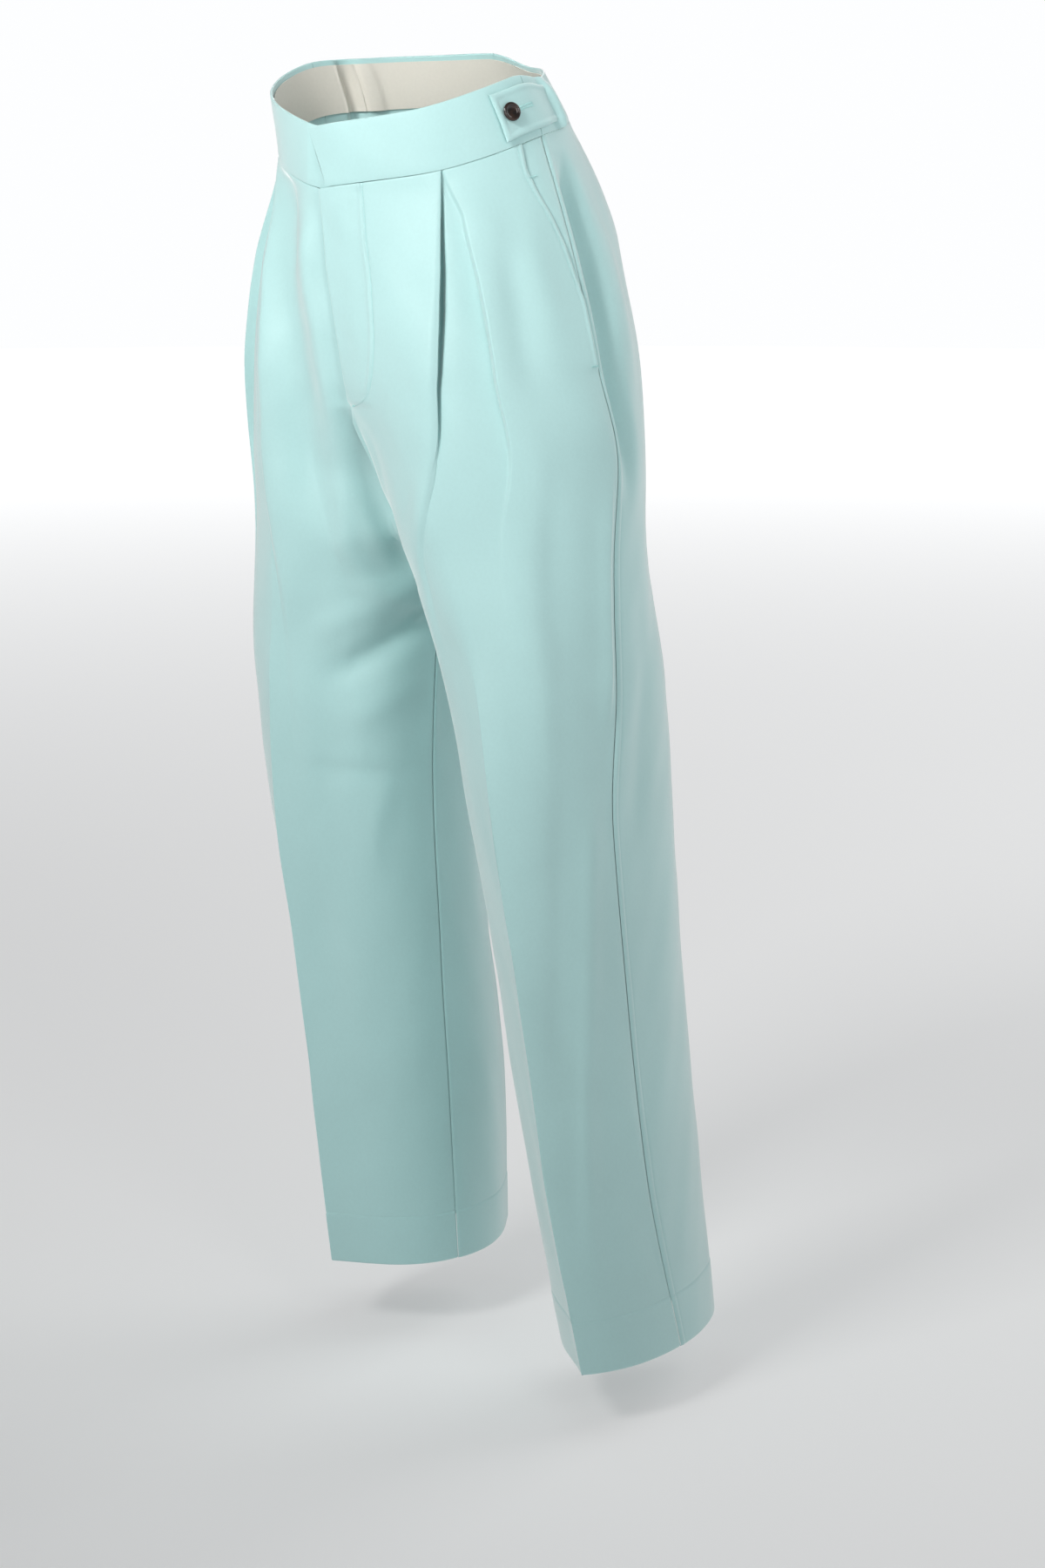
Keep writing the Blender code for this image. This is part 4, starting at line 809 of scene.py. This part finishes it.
def tab_top(side, v, d):
    """A point and normal on the outer face of the tab."""
    p, n = side_line(side, v, [d])
    sit = 0.0017 + 0.0012 * float(smooth(d, 0.024, 0.0385)) - 0.0006 * math.exp(-((d - 0.026) / 0.008) ** 2)
    return p[0] + n[0] * (sit + TAB_WALL + 0.0003 * math.sin(d * 160 + 1.5)), n[0]


def button(side):
    """A turned button: raised rounded rim, shallow dish and a bare middle, on a short shank of thread."""
    seat, n = tab_top(side, -0.0262, 0.0262)
    R = BUTTON_R
    prof = [(0.0, 0.0002), (0.0035, 0.0002), (0.0060, 0.0006), (R - 0.0006, 0.0013), (R - 0.00012, 0.0018), (R, 0.0023), (R - 0.00015, 0.0028),
            (R - 0.0006, 0.00325), (R - 0.0012, 0.0035), (R - 0.0019, 0.00345), (R - 0.0025, 0.0031), (R - 0.0030, 0.00275), (R - 0.0038, 0.00255), (0.0026, 0.00235), (0.0012, 0.0023), (0.0, 0.0023)]
    z = n / np.linalg.norm(n)
    x = np.cross(z, [0, 0, 1.0]); x /= np.linalg.norm(x)
    y = np.cross(z, x)
    steps = 72
    ang = np.linspace(0, 2 * math.pi, steps, endpoint=False)
    verts, faces, ring_at = [], [], []
    for r, h in prof:
        if r < 1e-9:
            ring_at.append([len(verts)]); verts.append(seat + z * (h + 0.0007))
        else:
            ring_at.append(list(range(len(verts), len(verts) + steps)))
            verts.extend(seat + z * (h + 0.0007) + r * (math.cos(a) * x + math.sin(a) * y) for a in ang)
    for p, q in zip(ring_at[:-1], ring_at[1:]):
        for i in range(steps):
            j = (i + 1) % steps
            if len(p) == 1:
                faces.append((p[0], q[j], q[i]))
            elif len(q) == 1:
                faces.append((p[i], p[j], q[0]))
            else:
                faces.append((p[i], p[j], q[j], q[i]))
    verts = np.array(verts)
    uv = np.stack([(verts - seat) @ x, (verts - seat) @ y], -1)
    obj = mesh_object("side_button_left" if side > 0 else "side_button_right", verts, faces, HORN, uv, 50.0)
    # thread shank under it
    runs = []
    for k in range(7):
        a = 2 * math.pi * k / 7
        c = x * math.cos(a) * 0.0013 + y * math.sin(a) * 0.0013
        runs.append((seat + c - z * 0.0002, seat + c * 0.9 + z * 0.0010))
    shank = capsules("button_thread_left" if side > 0 else "button_thread_right", runs, THREAD, 0.0005)
    return obj, shank


def on_front(side, v, s, up):
    q = Q[(side, True)]
    h = relief(side, True, np.array([v]), np.array([s])) + up
    if s > float(along(PLEATS[side], 1, v)):
        h = h + top_of_pleat(side, v, np.array([s]))
    return place(side, True, v, np.array([s]), h)[0]


def walk(line, step=STITCH_STEP, stitch=STITCH, lead=0.001):
    """Start and end places of stitches along a polyline of (a, b) places, in its own units of length."""
    line = np.array(line, float)
    s = lengths(line)
    out = []
    at = lead
    while at + stitch < s[-1]:
        out.append(([np.interp(at, s, line[:, k]) for k in (0, 1)], [np.interp(at + stitch, s, line[:, k]) for k in (0, 1)]))
        at += step
    return out


def bartack(place_at, a, b, wide, lines):
    """A dense bar of thread from a to b: short stitches across it."""
    a, b = np.array(a, float), np.array(b, float)
    d = (b - a) / np.linalg.norm(b - a)
    e = np.array([-d[1], d[0]]) * wide / 2
    out = []
    for t in np.linspace(0, 1, lines):
        c = a + (b - a) * t
        out.append((place_at(*(c - e)), place_at(*(c + e))))
    return out


# ================================================================ materials
def nodes_of(mat):
    mat.use_nodes = True
    nt = mat.node_tree
    return nt, nt.nodes.get("Principled BSDF")


def link(nt, a, b):
    nt.links.new(a, b)


def cloth_material(name, colour, sheen, rough, tone=0.03, thread=0.00042, bump=0.00006):
    """Very fine weave: thread ridges from the cut's own lengths, slight slubs and slow changes of tone."""
    mat = bpy.data.materials.new(name)
    nt, b = nodes_of(mat)
    uvn = nt.nodes.new("ShaderNodeUVMap"); uvn.uv_map = "cut"
    sep = nt.nodes.new("ShaderNodeSeparateXYZ"); link(nt, uvn.outputs["UV"], sep.inputs[0])
    waves = []
    for axis in ("X", "Y"):
        m = nt.nodes.new("ShaderNodeMath"); m.operation = "MULTIPLY"; m.inputs[1].default_value = 2 * math.pi / thread
        link(nt, sep.outputs[axis], m.inputs[0])
        w = nt.nodes.new("ShaderNodeMath"); w.operation = "SINE"; link(nt, m.outputs[0], w.inputs[0])
        waves.append(w)
    mul = nt.nodes.new("ShaderNodeMath"); mul.operation = "MULTIPLY"; link(nt, waves[0].outputs[0], mul.inputs[0]); link(nt, waves[1].outputs[0], mul.inputs[1])
    geo = nt.nodes.new("ShaderNodeTexCoord")
    n1 = nt.nodes.new("ShaderNodeTexNoise"); n1.inputs["Scale"].default_value = 9.0; n1.inputs["Detail"].default_value = 3.0; link(nt, geo.outputs["Object"], n1.inputs["Vector"])
    n2 = nt.nodes.new("ShaderNodeTexNoise"); n2.inputs["Scale"].default_value = 420.0; n2.inputs["Detail"].default_value = 2.0; link(nt, geo.outputs["Object"], n2.inputs["Vector"])
    ramp = nt.nodes.new("ShaderNodeMapRange"); ramp.inputs["From Min"].default_value = 0.3; ramp.inputs["From Max"].default_value = 0.7
    ramp.inputs["To Min"].default_value = 1 - tone; ramp.inputs["To Max"].default_value = 1 + tone; link(nt, n1.outputs["Fac"], ramp.inputs["Value"])
    ramp2 = nt.nodes.new("ShaderNodeMapRange"); ramp2.inputs["From Min"].default_value = 0.25; ramp2.inputs["From Max"].default_value = 0.75
    ramp2.inputs["To Min"].default_value = 0.985; ramp2.inputs["To Max"].default_value = 1.015; link(nt, n2.outputs["Fac"], ramp2.inputs["Value"])
    t = nt.nodes.new("ShaderNodeMath"); t.operation = "MULTIPLY"; link(nt, ramp.outputs[0], t.inputs[0]); link(nt, ramp2.outputs[0], t.inputs[1])
    col = nt.nodes.new("ShaderNodeVectorMath"); col.operation = "SCALE"; col.inputs[0].default_value = colour; link(nt, t.outputs[0], col.inputs["Scale"])
    link(nt, col.outputs[0], b.inputs["Base Color"])
    add = nt.nodes.new("ShaderNodeMath"); add.operation = "MULTIPLY_ADD"; add.inputs[1].default_value = 0.5; link(nt, mul.outputs[0], add.inputs[0]); link(nt, n2.outputs["Fac"], add.inputs[2])
    bmp = nt.nodes.new("ShaderNodeBump"); bmp.inputs["Strength"].default_value = 0.35; bmp.inputs["Distance"].default_value = bump; link(nt, add.outputs[0], bmp.inputs["Height"])
    link(nt, bmp.outputs[0], b.inputs["Normal"])
    b.inputs["Roughness"].default_value = rough
    b.inputs["Sheen Weight"].default_value = sheen
    b.inputs["Sheen Roughness"].default_value = 0.45
    b.inputs["Sheen Tint"].default_value = (1.0, 0.99, 0.98, 1)
    b.inputs["Specular IOR Level"].default_value = 0.46
    return mat


def horn_material():
    mat = bpy.data.materials.new("dark_horn_look")
    nt, b = nodes_of(mat)
    geo = nt.nodes.new("ShaderNodeTexCoord")
    n = nt.nodes.new("ShaderNodeTexNoise"); n.inputs["Scale"].default_value = 130.0; n.inputs["Detail"].default_value = 5.0; n.inputs["Distortion"].default_value = 1.6
    link(nt, geo.outputs["Object"], n.inputs["Vector"])
    r = nt.nodes.new("ShaderNodeValToRGB")
    r.color_ramp.elements[0].position = 0.35; r.color_ramp.elements[0].color = (0.009, 0.006, 0.005, 1)
    r.color_ramp.elements[1].position = 0.8; r.color_ramp.elements[1].color = (0.050, 0.024, 0.015, 1)
    link(nt, n.outputs["Fac"], r.inputs[0]); link(nt, r.outputs[0], b.inputs["Base Color"])
    rr = nt.nodes.new("ShaderNodeMapRange"); rr.inputs["To Min"].default_value = 0.14; rr.inputs["To Max"].default_value = 0.26; link(nt, n.outputs["Fac"], rr.inputs["Value"])
    link(nt, rr.outputs[0], b.inputs["Roughness"])
    bmp = nt.nodes.new("ShaderNodeBump"); bmp.inputs["Strength"].default_value = 0.15; bmp.inputs["Distance"].default_value = 0.00004; link(nt, n.outputs["Fac"], bmp.inputs["Height"])
    link(nt, bmp.outputs[0], b.inputs["Normal"])
    b.inputs["Specular IOR Level"].default_value = 0.6
    return mat


def plain_material(name, colour, rough, scale, tone):
    mat = bpy.data.materials.new(name)
    nt, b = nodes_of(mat)
    geo = nt.nodes.new("ShaderNodeTexCoord")
    n = nt.nodes.new("ShaderNodeTexNoise"); n.inputs["Scale"].default_value = scale; n.inputs["Detail"].default_value = 4.0; link(nt, geo.outputs["Object"], n.inputs["Vector"])
    ramp = nt.nodes.new("ShaderNodeMapRange"); ramp.inputs["To Min"].default_value = 1 - tone; ramp.inputs["To Max"].default_value = 1 + tone; link(nt, n.outputs["Fac"], ramp.inputs["Value"])
    col = nt.nodes.new("ShaderNodeVectorMath"); col.operation = "SCALE"; col.inputs[0].default_value = colour; link(nt, ramp.outputs[0], col.inputs["Scale"])
    link(nt, col.outputs[0], b.inputs["Base Color"])
    bmp = nt.nodes.new("ShaderNodeBump"); bmp.inputs["Strength"].default_value = 0.3; bmp.inputs["Distance"].default_value = 0.0001; link(nt, n.outputs["Fac"], bmp.inputs["Height"])
    link(nt, bmp.outputs[0], b.inputs["Normal"])
    b.inputs["Roughness"].default_value = rough
    return mat


CLOTH = cloth_material("aqua_cloth", (0.405, 0.640, 0.634), 0.80, 0.52)
FACING = cloth_material("cream_facing", (0.70, 0.68, 0.61), 0.10, 0.85, tone=0.02, thread=0.0007, bump=0.00012)
TAPE = cloth_material("aqua_tape", (0.40, 0.66, 0.66), 0.05, 0.85, tone=0.02, thread=0.0009, bump=0.00015)
THREAD = plain_material("aqua_thread", (0.40, 0.68, 0.67), 0.55, 900.0, 0.10)
HORN = horn_material()

# ================================================================ the pieces
made = {}
for side in (1, -1):
    w = "left" if side > 0 else "right"
    made["front_" + w] = front_panel(side)
    made["back_" + w] = back_panel(side)

# pocket facings: under the slanted mouth, out to the side seam
for side in (1, -1):
    w = "left" if side > 0 else "right"
    rows, uv = [], []
    for v in np.concatenate([[0.0006], np.linspace(0.003, 0.186, 62)]):
        low = float(np.interp(v, POCKET_V, POCKET_D, right=0.0))
        s = cuts([GAP / 2, low + 0.004, low + 0.024], [16, 8])
        tuck = smooth(v, 0.125, 0.15)
        h = -0.0004 - 0.0012 * smooth(s, low - 0.004, low + 0.002) - 0.0004 * tuck - 0.0009 * np.exp(-(s / 0.0012) ** 2) + 0.0004 * np.exp(-((s - 0.004) / 0.0022) ** 2)
        h = h + 0.0007 * np.exp(-((s - 0.45 * low) / 0.008) ** 2) * (1 - tuck)
        for line, amp, wide, lop, fade in CREASES[(side, True)][:2]:
            h = h + crease(np.full(s.shape, v), s, line, amp, wide, lop, fade)
        rows.append(place(side, True, v, s, h)); uv.append(np.stack([s, np.full(len(s), -v)], -1))
    g = np.array(rows)
    made["pocket_facing_" + w] = sheet_mesh(w + "_pocket_facing", g, shell_of(g, 0.0006, side, True), CLOTH, np.array(uv))

wl, wr = front_width(1), front_width(-1)
SINK_R = lambda side, d: 0.0028 * float(smooth(d, wr - 0.014, wr + 0.003))
SINK_L = lambda side, d: 0.0
made["waistband_front_left"] = band("left_front_waistband", [(1, d) for d in np.linspace(0.0003, wl - 0.0035, 130)], SINK_L)
right_band_cols = [(-1, d) for d in np.linspace(0.0003, wr + 0.016, 140)]


def band_right():
    """The right front waistband runs on under the left one."""
    rings, uv, run = [], [], 0.0
    for i, (side, dist) in enumerate(right_band_cols):
        ring = []
        for up, wall in PROFILE:
            v = -up
            h = 0.0009 - wall * BAND_WALL + 0.00035 * math.sin(math.pi * min(up / -RIM, 1.0)) * (1 - wall) - SINK_R(side, dist) - 0.0006 * math.exp(-(up / 0.0007) ** 2) * (1 - wall)
            ring.append(place(-1, True, v, np.array([dist]), np.array([h]))[0])
        rings.append(ring)
        if i:
            run += float(np.linalg.norm(np.array(rings[-1][5]) - np.array(rings[-2][5])))
        uv.append([(run, up * (1 - 2 * wall)) for up, wall in PROFILE])
    return tube_mesh("right_front_waistband", np.array(rings), CLOTH, np.array(uv))


made["waistband_front_right"] = band_right()
bl, br = Q[(1, False)].width(-0.02), Q[(-1, False)].width(-0.02)
back_cols = [(1, -d) for d in np.linspace(0.0003, 0.075, 90)] + [(1, -d) for d in np.linspace(0.077, bl - 0.0005, 50)] + \
            [(-1, -d) for d in np.linspace(br - 0.0005, 0.077, 50)] + [(-1, -d) for d in np.linspace(0.075, 0.0003, 90)]
made["waistband_back"] = band("back_waistband", back_cols)

# cream facing inside the band, all round
rows, uv = [], []
for up in [0.0470, 0.0466, 0.0455] + list(np.linspace(0.044, 0.009, 12)) + [0.0078, 0.0072]:
    v = -up
    pts, us, run = [], [], 0
    parts = []
    for side, sgn, order in ((1, 1, 1), (-1, 1, -1), (-1, -1, 1), (1, -1, -1)):
        wide = Q[(side, sgn > 0)].width(v)
        d = np.linspace(0.0, wide, 170)[:-1] if order > 0 else np.linspace(wide, 0.0, 170)[:-1]
        p, n = side_line(side, v, sgn * d)
        sink = np.array([SINK_R(side, x) for x in d]) if (side < 0 and sgn > 0) else np.zeros(len(d))
        if side > 0 and sgn > 0:
            sink = 0.0032 * smooth(d, wide - 0.050, wide - 0.006)
        extra = fold_of_back(side, v, -d) if sgn < 0 else 0.0
        extra = extra - 0.0016 * smooth(np.abs(extra), 0.0, 0.0012)
        parts.append(p + n * (0.0009 - BAND_WALL - 0.0006 - sink + np.asarray(extra))[:, None])
    line = np.concatenate(parts)
    rows.append(line)
    uv.append(np.stack([lengths(line), np.full(len(line), up)], -1))
g = np.array(rows)
g = np.concatenate([g, g[:, :1]], axis=1)
uvg = np.concatenate([np.array(uv), np.array(uv)[:, -1:] + [[0.004, 0]]], axis=1)
nn = grid_normals(g)
c = g.mean(axis=(0, 1))
inward = np.sum(nn * (c - g), axis=2, keepdims=True)
nn = np.where(inward > 0, nn, -nn)
nn[:, 0] = nn[:, -1] = (nn[:, 1] + nn[:, -2]) / np.linalg.norm(nn[:, 1] + nn[:, -2], axis=1, keepdims=True)
made["waistband_facing"] = sheet_mesh("inner_waistband_facing", g, g + nn * 0.0006, FACING, uvg)

for side in (1, -1):
    w = "left" if side > 0 else "right"
    made["side_tab_" + w] = tab(side)
    made["button_" + w], made["thread_" + w] = button(side)


def fly_strip(name, first, last, depth, wall, top, bottom, mat, cols=9, rnum=30):
    rows, uv = [], []
    for v in np.linspace(top, bottom, rnum):
        q = Q[(-1, True)]
        s = q.width(v) + np.linspace(first, last, cols)
        under = relief(-1, True, np.full(cols, v), np.minimum(s, q.width(v) - 0.001))
        rows.append(place(-1, True, v, s, np.minimum(under, 0) - depth + 0.0004 * np.sin(v * 50 + np.arange(cols) * 0.4)))
        uv.append(np.stack([s, np.full(cols, -v)], -1))
    g = np.array(rows)
    n = grid_normals(g)
    if n[3, 2][1] > 0:
        n = -n
    return sheet_mesh(name, g, g - n * wall, mat, np.array(uv))


made["fly_zip"] = fly_strip("zip_tape_strip", -0.013, 0.013, 0.0029, 0.0006, 0.004, 0.165, TAPE)
made["fly_shield"] = fly_strip("fly_shield_strip", -0.018, 0.034, 0.0052, 0.0012, 0.004, 0.175, CLOTH, cols=14)
teeth = []
for k in range(92):
    v = 0.008 + k * 0.0017
    sgn = -1 if k % 2 else 1
    w0 = Q[(-1, True)].width(v)
    a = place(-1, True, v, np.array([w0 - 0.0008 * sgn - 0.0012]), np.array([-0.0024]))[0]
    b = place(-1, True, v, np.array([w0 - 0.0008 * sgn + 0.0012]), np.array([-0.0024]))[0]
    teeth.append((a, b))
made["zip_teeth"] = capsules("zip_teeth_rows", teeth, TAPE, 0.0005)

# ================================================================ stitches, laid as arrays along their lines
seams = {}
for side in (1, -1):
    w = "left" if side > 0 else "right"
    pocket = []
    mouth = [(v, float(np.interp(v, POCKET_V, POCKET_D, right=0.0)) + 0.0054) for v in np.linspace(0.002, 0.118, 40)]
    for a, b in walk(mouth):
        pocket.append((on_front(side, a[0], a[1], 0.00022), on_front(side, b[0], b[1], 0.00022)))
    pocket += bartack(lambda v, s: on_front(side, v, s, 0.0003), (0.027, 0.0175), (0.027, 0.0262), 0.0014, 13)
    pocket += bartack(lambda v, s: on_front(side, v, s, 0.0003), (0.183, 0.0012), (0.183, 0.0082), 0.0014, 11)
    seams["pocket_stitches_" + w] = (capsules("pocket_stitches_" + w, pocket, THREAD), "front_" + w)
    # round the tab
    line = []
    for d, v in [(-0.0205, -0.0408), (0.0350, -0.0408), (0.0350, -0.0092), (-0.0205, -0.0092)]:
        line.append((d, v))
    runs = []
    for a, b in walk(line):
        pa, na = tab_top(side, a[1], a[0]); pb, nb = tab_top(side, b[1], b[0])
        runs.append((pa + na * 0.0000, pb + nb * 0.0000))
    # buttonhole: two dense rows with a bar across one end
    hole_v, d0, d1 = -0.0262, 0.0040, 0.0200
    for d in np.linspace(d0, d1, 62):
        for sgn in (-1, 1):
            pa, na = tab_top(side, hole_v + sgn * 0.0003, d); pb, nb = tab_top(side, hole_v + sgn * 0.0019, d)
            runs.append((pa + na * 0.0002, pb + nb * 0.0001))
    for x in np.linspace(-1, 1, 12):
        pa, na = tab_top(side, hole_v + x * 0.0019, d0 - 0.0016); pb, nb = tab_top(side, hole_v + x * 0.0019, d0 + 0.0004)
        runs.append((pa + na * 0.0002, pb + nb * 0.0002))
    seams["tab_stitches_" + w] = (capsules("tab_stitches_" + w, runs, THREAD, 0.00017), "side_tab_" + w)

for side in (1, -1):     # topstitch behind each side seam, from the pocket to the hem
    w = "left" if side > 0 else "right"
    q = Q[(side, False)]
    runs = []
    for a, b in walk([(v, 0.0056) for v in np.linspace(0.188, q.end - 0.003, 60)]):
        pts = []
        for v, s in (a, b):
            h = relief(side, False, np.array([v]), np.array([s])) + 0.00008
            pts.append(place(side, False, v, np.array([s]), h)[0])
        runs.append(tuple(pts))
    seams["side_stitches_" + w] = (capsules("side_stitches_" + w, runs, THREAD, 0.00017), "back_" + w)

fly = []
for a, b in walk(J_LINE, step=0.0029):
    fly.append((on_front(1, a[0], a[1], 0.00012), on_front(1, b[0], b[1], 0.00012)))
tip = J_LINE[-1]
fly += bartack(lambda v, s: on_front(1, v, s, 0.0002), (0.2070, 0.2520), (0.2088, 0.2590), 0.0014, 9)
seams["fly_stitches"] = (capsules("fly_stitches", fly, THREAD), "front_left")

# ================================================================ flat sizes of the cuts; the pieces are hung under the root and the CAD parts they replace are hidden
SHEETS = {   # flat width and length of the cut (m), its area (m2)
    "front_left": (0.385, 1.06, 0.302), "front_right": (0.400, 1.06, 0.305),
    "back_left": (0.345, 1.06, 0.300), "back_right": (0.345, 1.06, 0.300),
    "pocket_facing_left": (0.050, 0.190, 0.0072), "pocket_facing_right": (0.050, 0.190, 0.0072),
    "waistband_front_left": (0.215, 0.052, 0.0110), "waistband_front_right": (0.235, 0.052, 0.0120),
    "waistband_back": (0.375, 0.052, 0.0193), "waistband_facing": (0.780, 0.040, 0.0310),
    "side_tab_left": (0.060, 0.039, 0.0023), "side_tab_right": (0.060, 0.039, 0.0023),
    "fly_shield": (0.056, 0.175, 0.0094), "fly_zip": (0.030, 0.165, 0.0045),
}
for node, obj in made.items():
    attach(obj, "root")
    if node.startswith("thread_") or node == "zip_teeth":
        continue
    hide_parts(node)
for obj, home in seams.values():
    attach(obj, "root")
for node, (fw, fl, area) in SHEETS.items():
    obj = made[node]
    kin = [o for o, home in seams.values() if home == node]
    if node == "front_left":
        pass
    elif node == "front_right":
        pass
    elif node.startswith("pocket"):
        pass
    elif node.startswith("side_tab"):
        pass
    elif node.startswith("fly"):
        if node == "fly_zip":
            kin.append(made["zip_teeth"])

# ================================================================ floor, light and camera
FLOOR_Z = -1.085
mesh = bpy.data.meshes.new("studio_floor")
ang = np.linspace(0, 2 * math.pi, 96, endpoint=False)
verts = [(0, 0, FLOOR_Z)] + [(r * math.cos(a), r * math.sin(a), FLOOR_Z) for r in (2.0, 14.0) for a in ang]
faces = [(0, 1 + i, 1 + (i + 1) % 96) for i in range(96)] + [(1 + i, 97 + i, 97 + (i + 1) % 96, 1 + (i + 1) % 96) for i in range(96)]
mesh.from_pydata(verts, [], faces)
floor = bpy.data.objects.new("studio_floor", mesh)
bpy.context.scene.collection.objects.link(floor)
white = plain_material("studio_white_glow", (0.50, 0.505, 0.505), 0.85, 3.0, 0.01)
wb = white.node_tree.nodes.get("Principled BSDF")     # a studio table that glows: painted light by emission, dim near the middle so the lamps' faint shadow shows, brighter farther out so it fades into the white backdrop
wb.inputs["Emission Color"].default_value = (0.985, 0.992, 1.0, 1)
wn = white.node_tree.nodes
wtc, wln, floor_glow_ramp = wn.new("ShaderNodeTexCoord"), wn.new("ShaderNodeVectorMath"), wn.new("ShaderNodeMapRange")
wln.operation = "LENGTH"
# painted light: the floor's glow strength rises with distance from the origin, from 0.34 to 0.90
floor_glow_ramp.inputs["From Min"].default_value, floor_glow_ramp.inputs["From Max"].default_value = 0.8, 7.0
floor_glow_ramp.inputs["To Min"].default_value, floor_glow_ramp.inputs["To Max"].default_value = 0.34, 0.90
white.node_tree.links.new(wtc.outputs["Object"], wln.inputs[0])
white.node_tree.links.new(wln.outputs["Value"], floor_glow_ramp.inputs["Value"])
white.node_tree.links.new(floor_glow_ramp.outputs[0], wb.inputs["Emission Strength"])
floor.data.materials.append(white)

world = bpy.data.worlds.new("studio") if bpy.context.scene.world is None else bpy.context.scene.world
bpy.context.scene.world = world
world.use_nodes = True
wt = world.node_tree
bg = wt.nodes.get("Background")
bg.inputs["Color"].default_value = (0.985, 0.992, 1.0, 1)
tc = wt.nodes.new("ShaderNodeTexCoord")
wz = wt.nodes.new("ShaderNodeSeparateXYZ")
wt.links.new(tc.outputs["Generated"], wz.inputs[0])
wr_ = wt.nodes.new("ShaderNodeMapRange")     # bright round the horizon like a lit backdrop, dimmer overhead
wr_.inputs["From Min"].default_value = 0.10
wr_.inputs["From Max"].default_value = 0.26
wr_.inputs["To Min"].default_value = 1.0
wr_.inputs["To Max"].default_value = 0.22
wt.links.new(wz.outputs["Z"], wr_.inputs["Value"])
wt.links.new(wr_.outputs[0], bg.inputs["Strength"])


def area_light(name, at, aim, size, power, colour=(1, 1, 1), spread=180.0):
    data = bpy.data.lights.new(name, "AREA")
    data.shape = "RECTANGLE"
    data.size, data.size_y = size
    data.energy = power
    data.color = colour
    data.spread = math.radians(spread)
    obj = bpy.data.objects.new(name, data)
    bpy.context.scene.collection.objects.link(obj)
    obj.location = at
    d = np.array(aim, float) - np.array(at, float)
    d /= np.linalg.norm(d)
    yaw = math.atan2(d[1], d[0]) - math.pi / 2
    pitch = math.asin(d[2]) + math.pi / 2
    obj.rotation_euler = (pitch, 0, yaw)
    return obj


area_light("key", (0.10, -1.62, 0.95), (0.03, -0.08, 0.05), (0.6, 0.6), 5.3, (1.0, 0.98, 0.965), 72.0)
area_light("fill", (1.7, -0.65, 0.60), (0.10, -0.02, 0.06), (0.5, 0.8), 1.4, (1.0, 0.99, 0.985), 72.0)
area_light("back", (0.6, 2.6, 1.5), (0.05, 0, -0.2), (2.0, 2.0), 30.0)

PHI, TILT = math.radians(44.5), math.radians(12.35)
xc = np.array([math.cos(PHI), math.sin(PHI), 0.0])
zc = np.array([-math.sin(PHI) * math.cos(TILT), math.cos(PHI) * math.cos(TILT), -math.sin(TILT)])
yc = np.cross(zc, xc)
o = np.array([(472 - 600) / 3284 * 2.43, (130 - 900) / 3284 * 2.43, 2.43])
cam_at = -(xc * o[0] + yc * o[1] + zc * o[2])
cam_data = bpy.data.cameras.new("photo_camera")
cam_data.lens = 3284 / 1800 * 36
cam_data.sensor_width = 36
cam_data.sensor_fit = "AUTO"
cam_data.clip_end = 60
cam = bpy.data.objects.new("photo_camera", cam_data)
bpy.context.scene.collection.objects.link(cam)
cam.location = cam_at
cam.rotation_euler = (math.pi / 2 - TILT, 0, PHI)
bpy.context.scene.camera = cam
bpy.context.scene.view_settings.view_transform = "Standard"
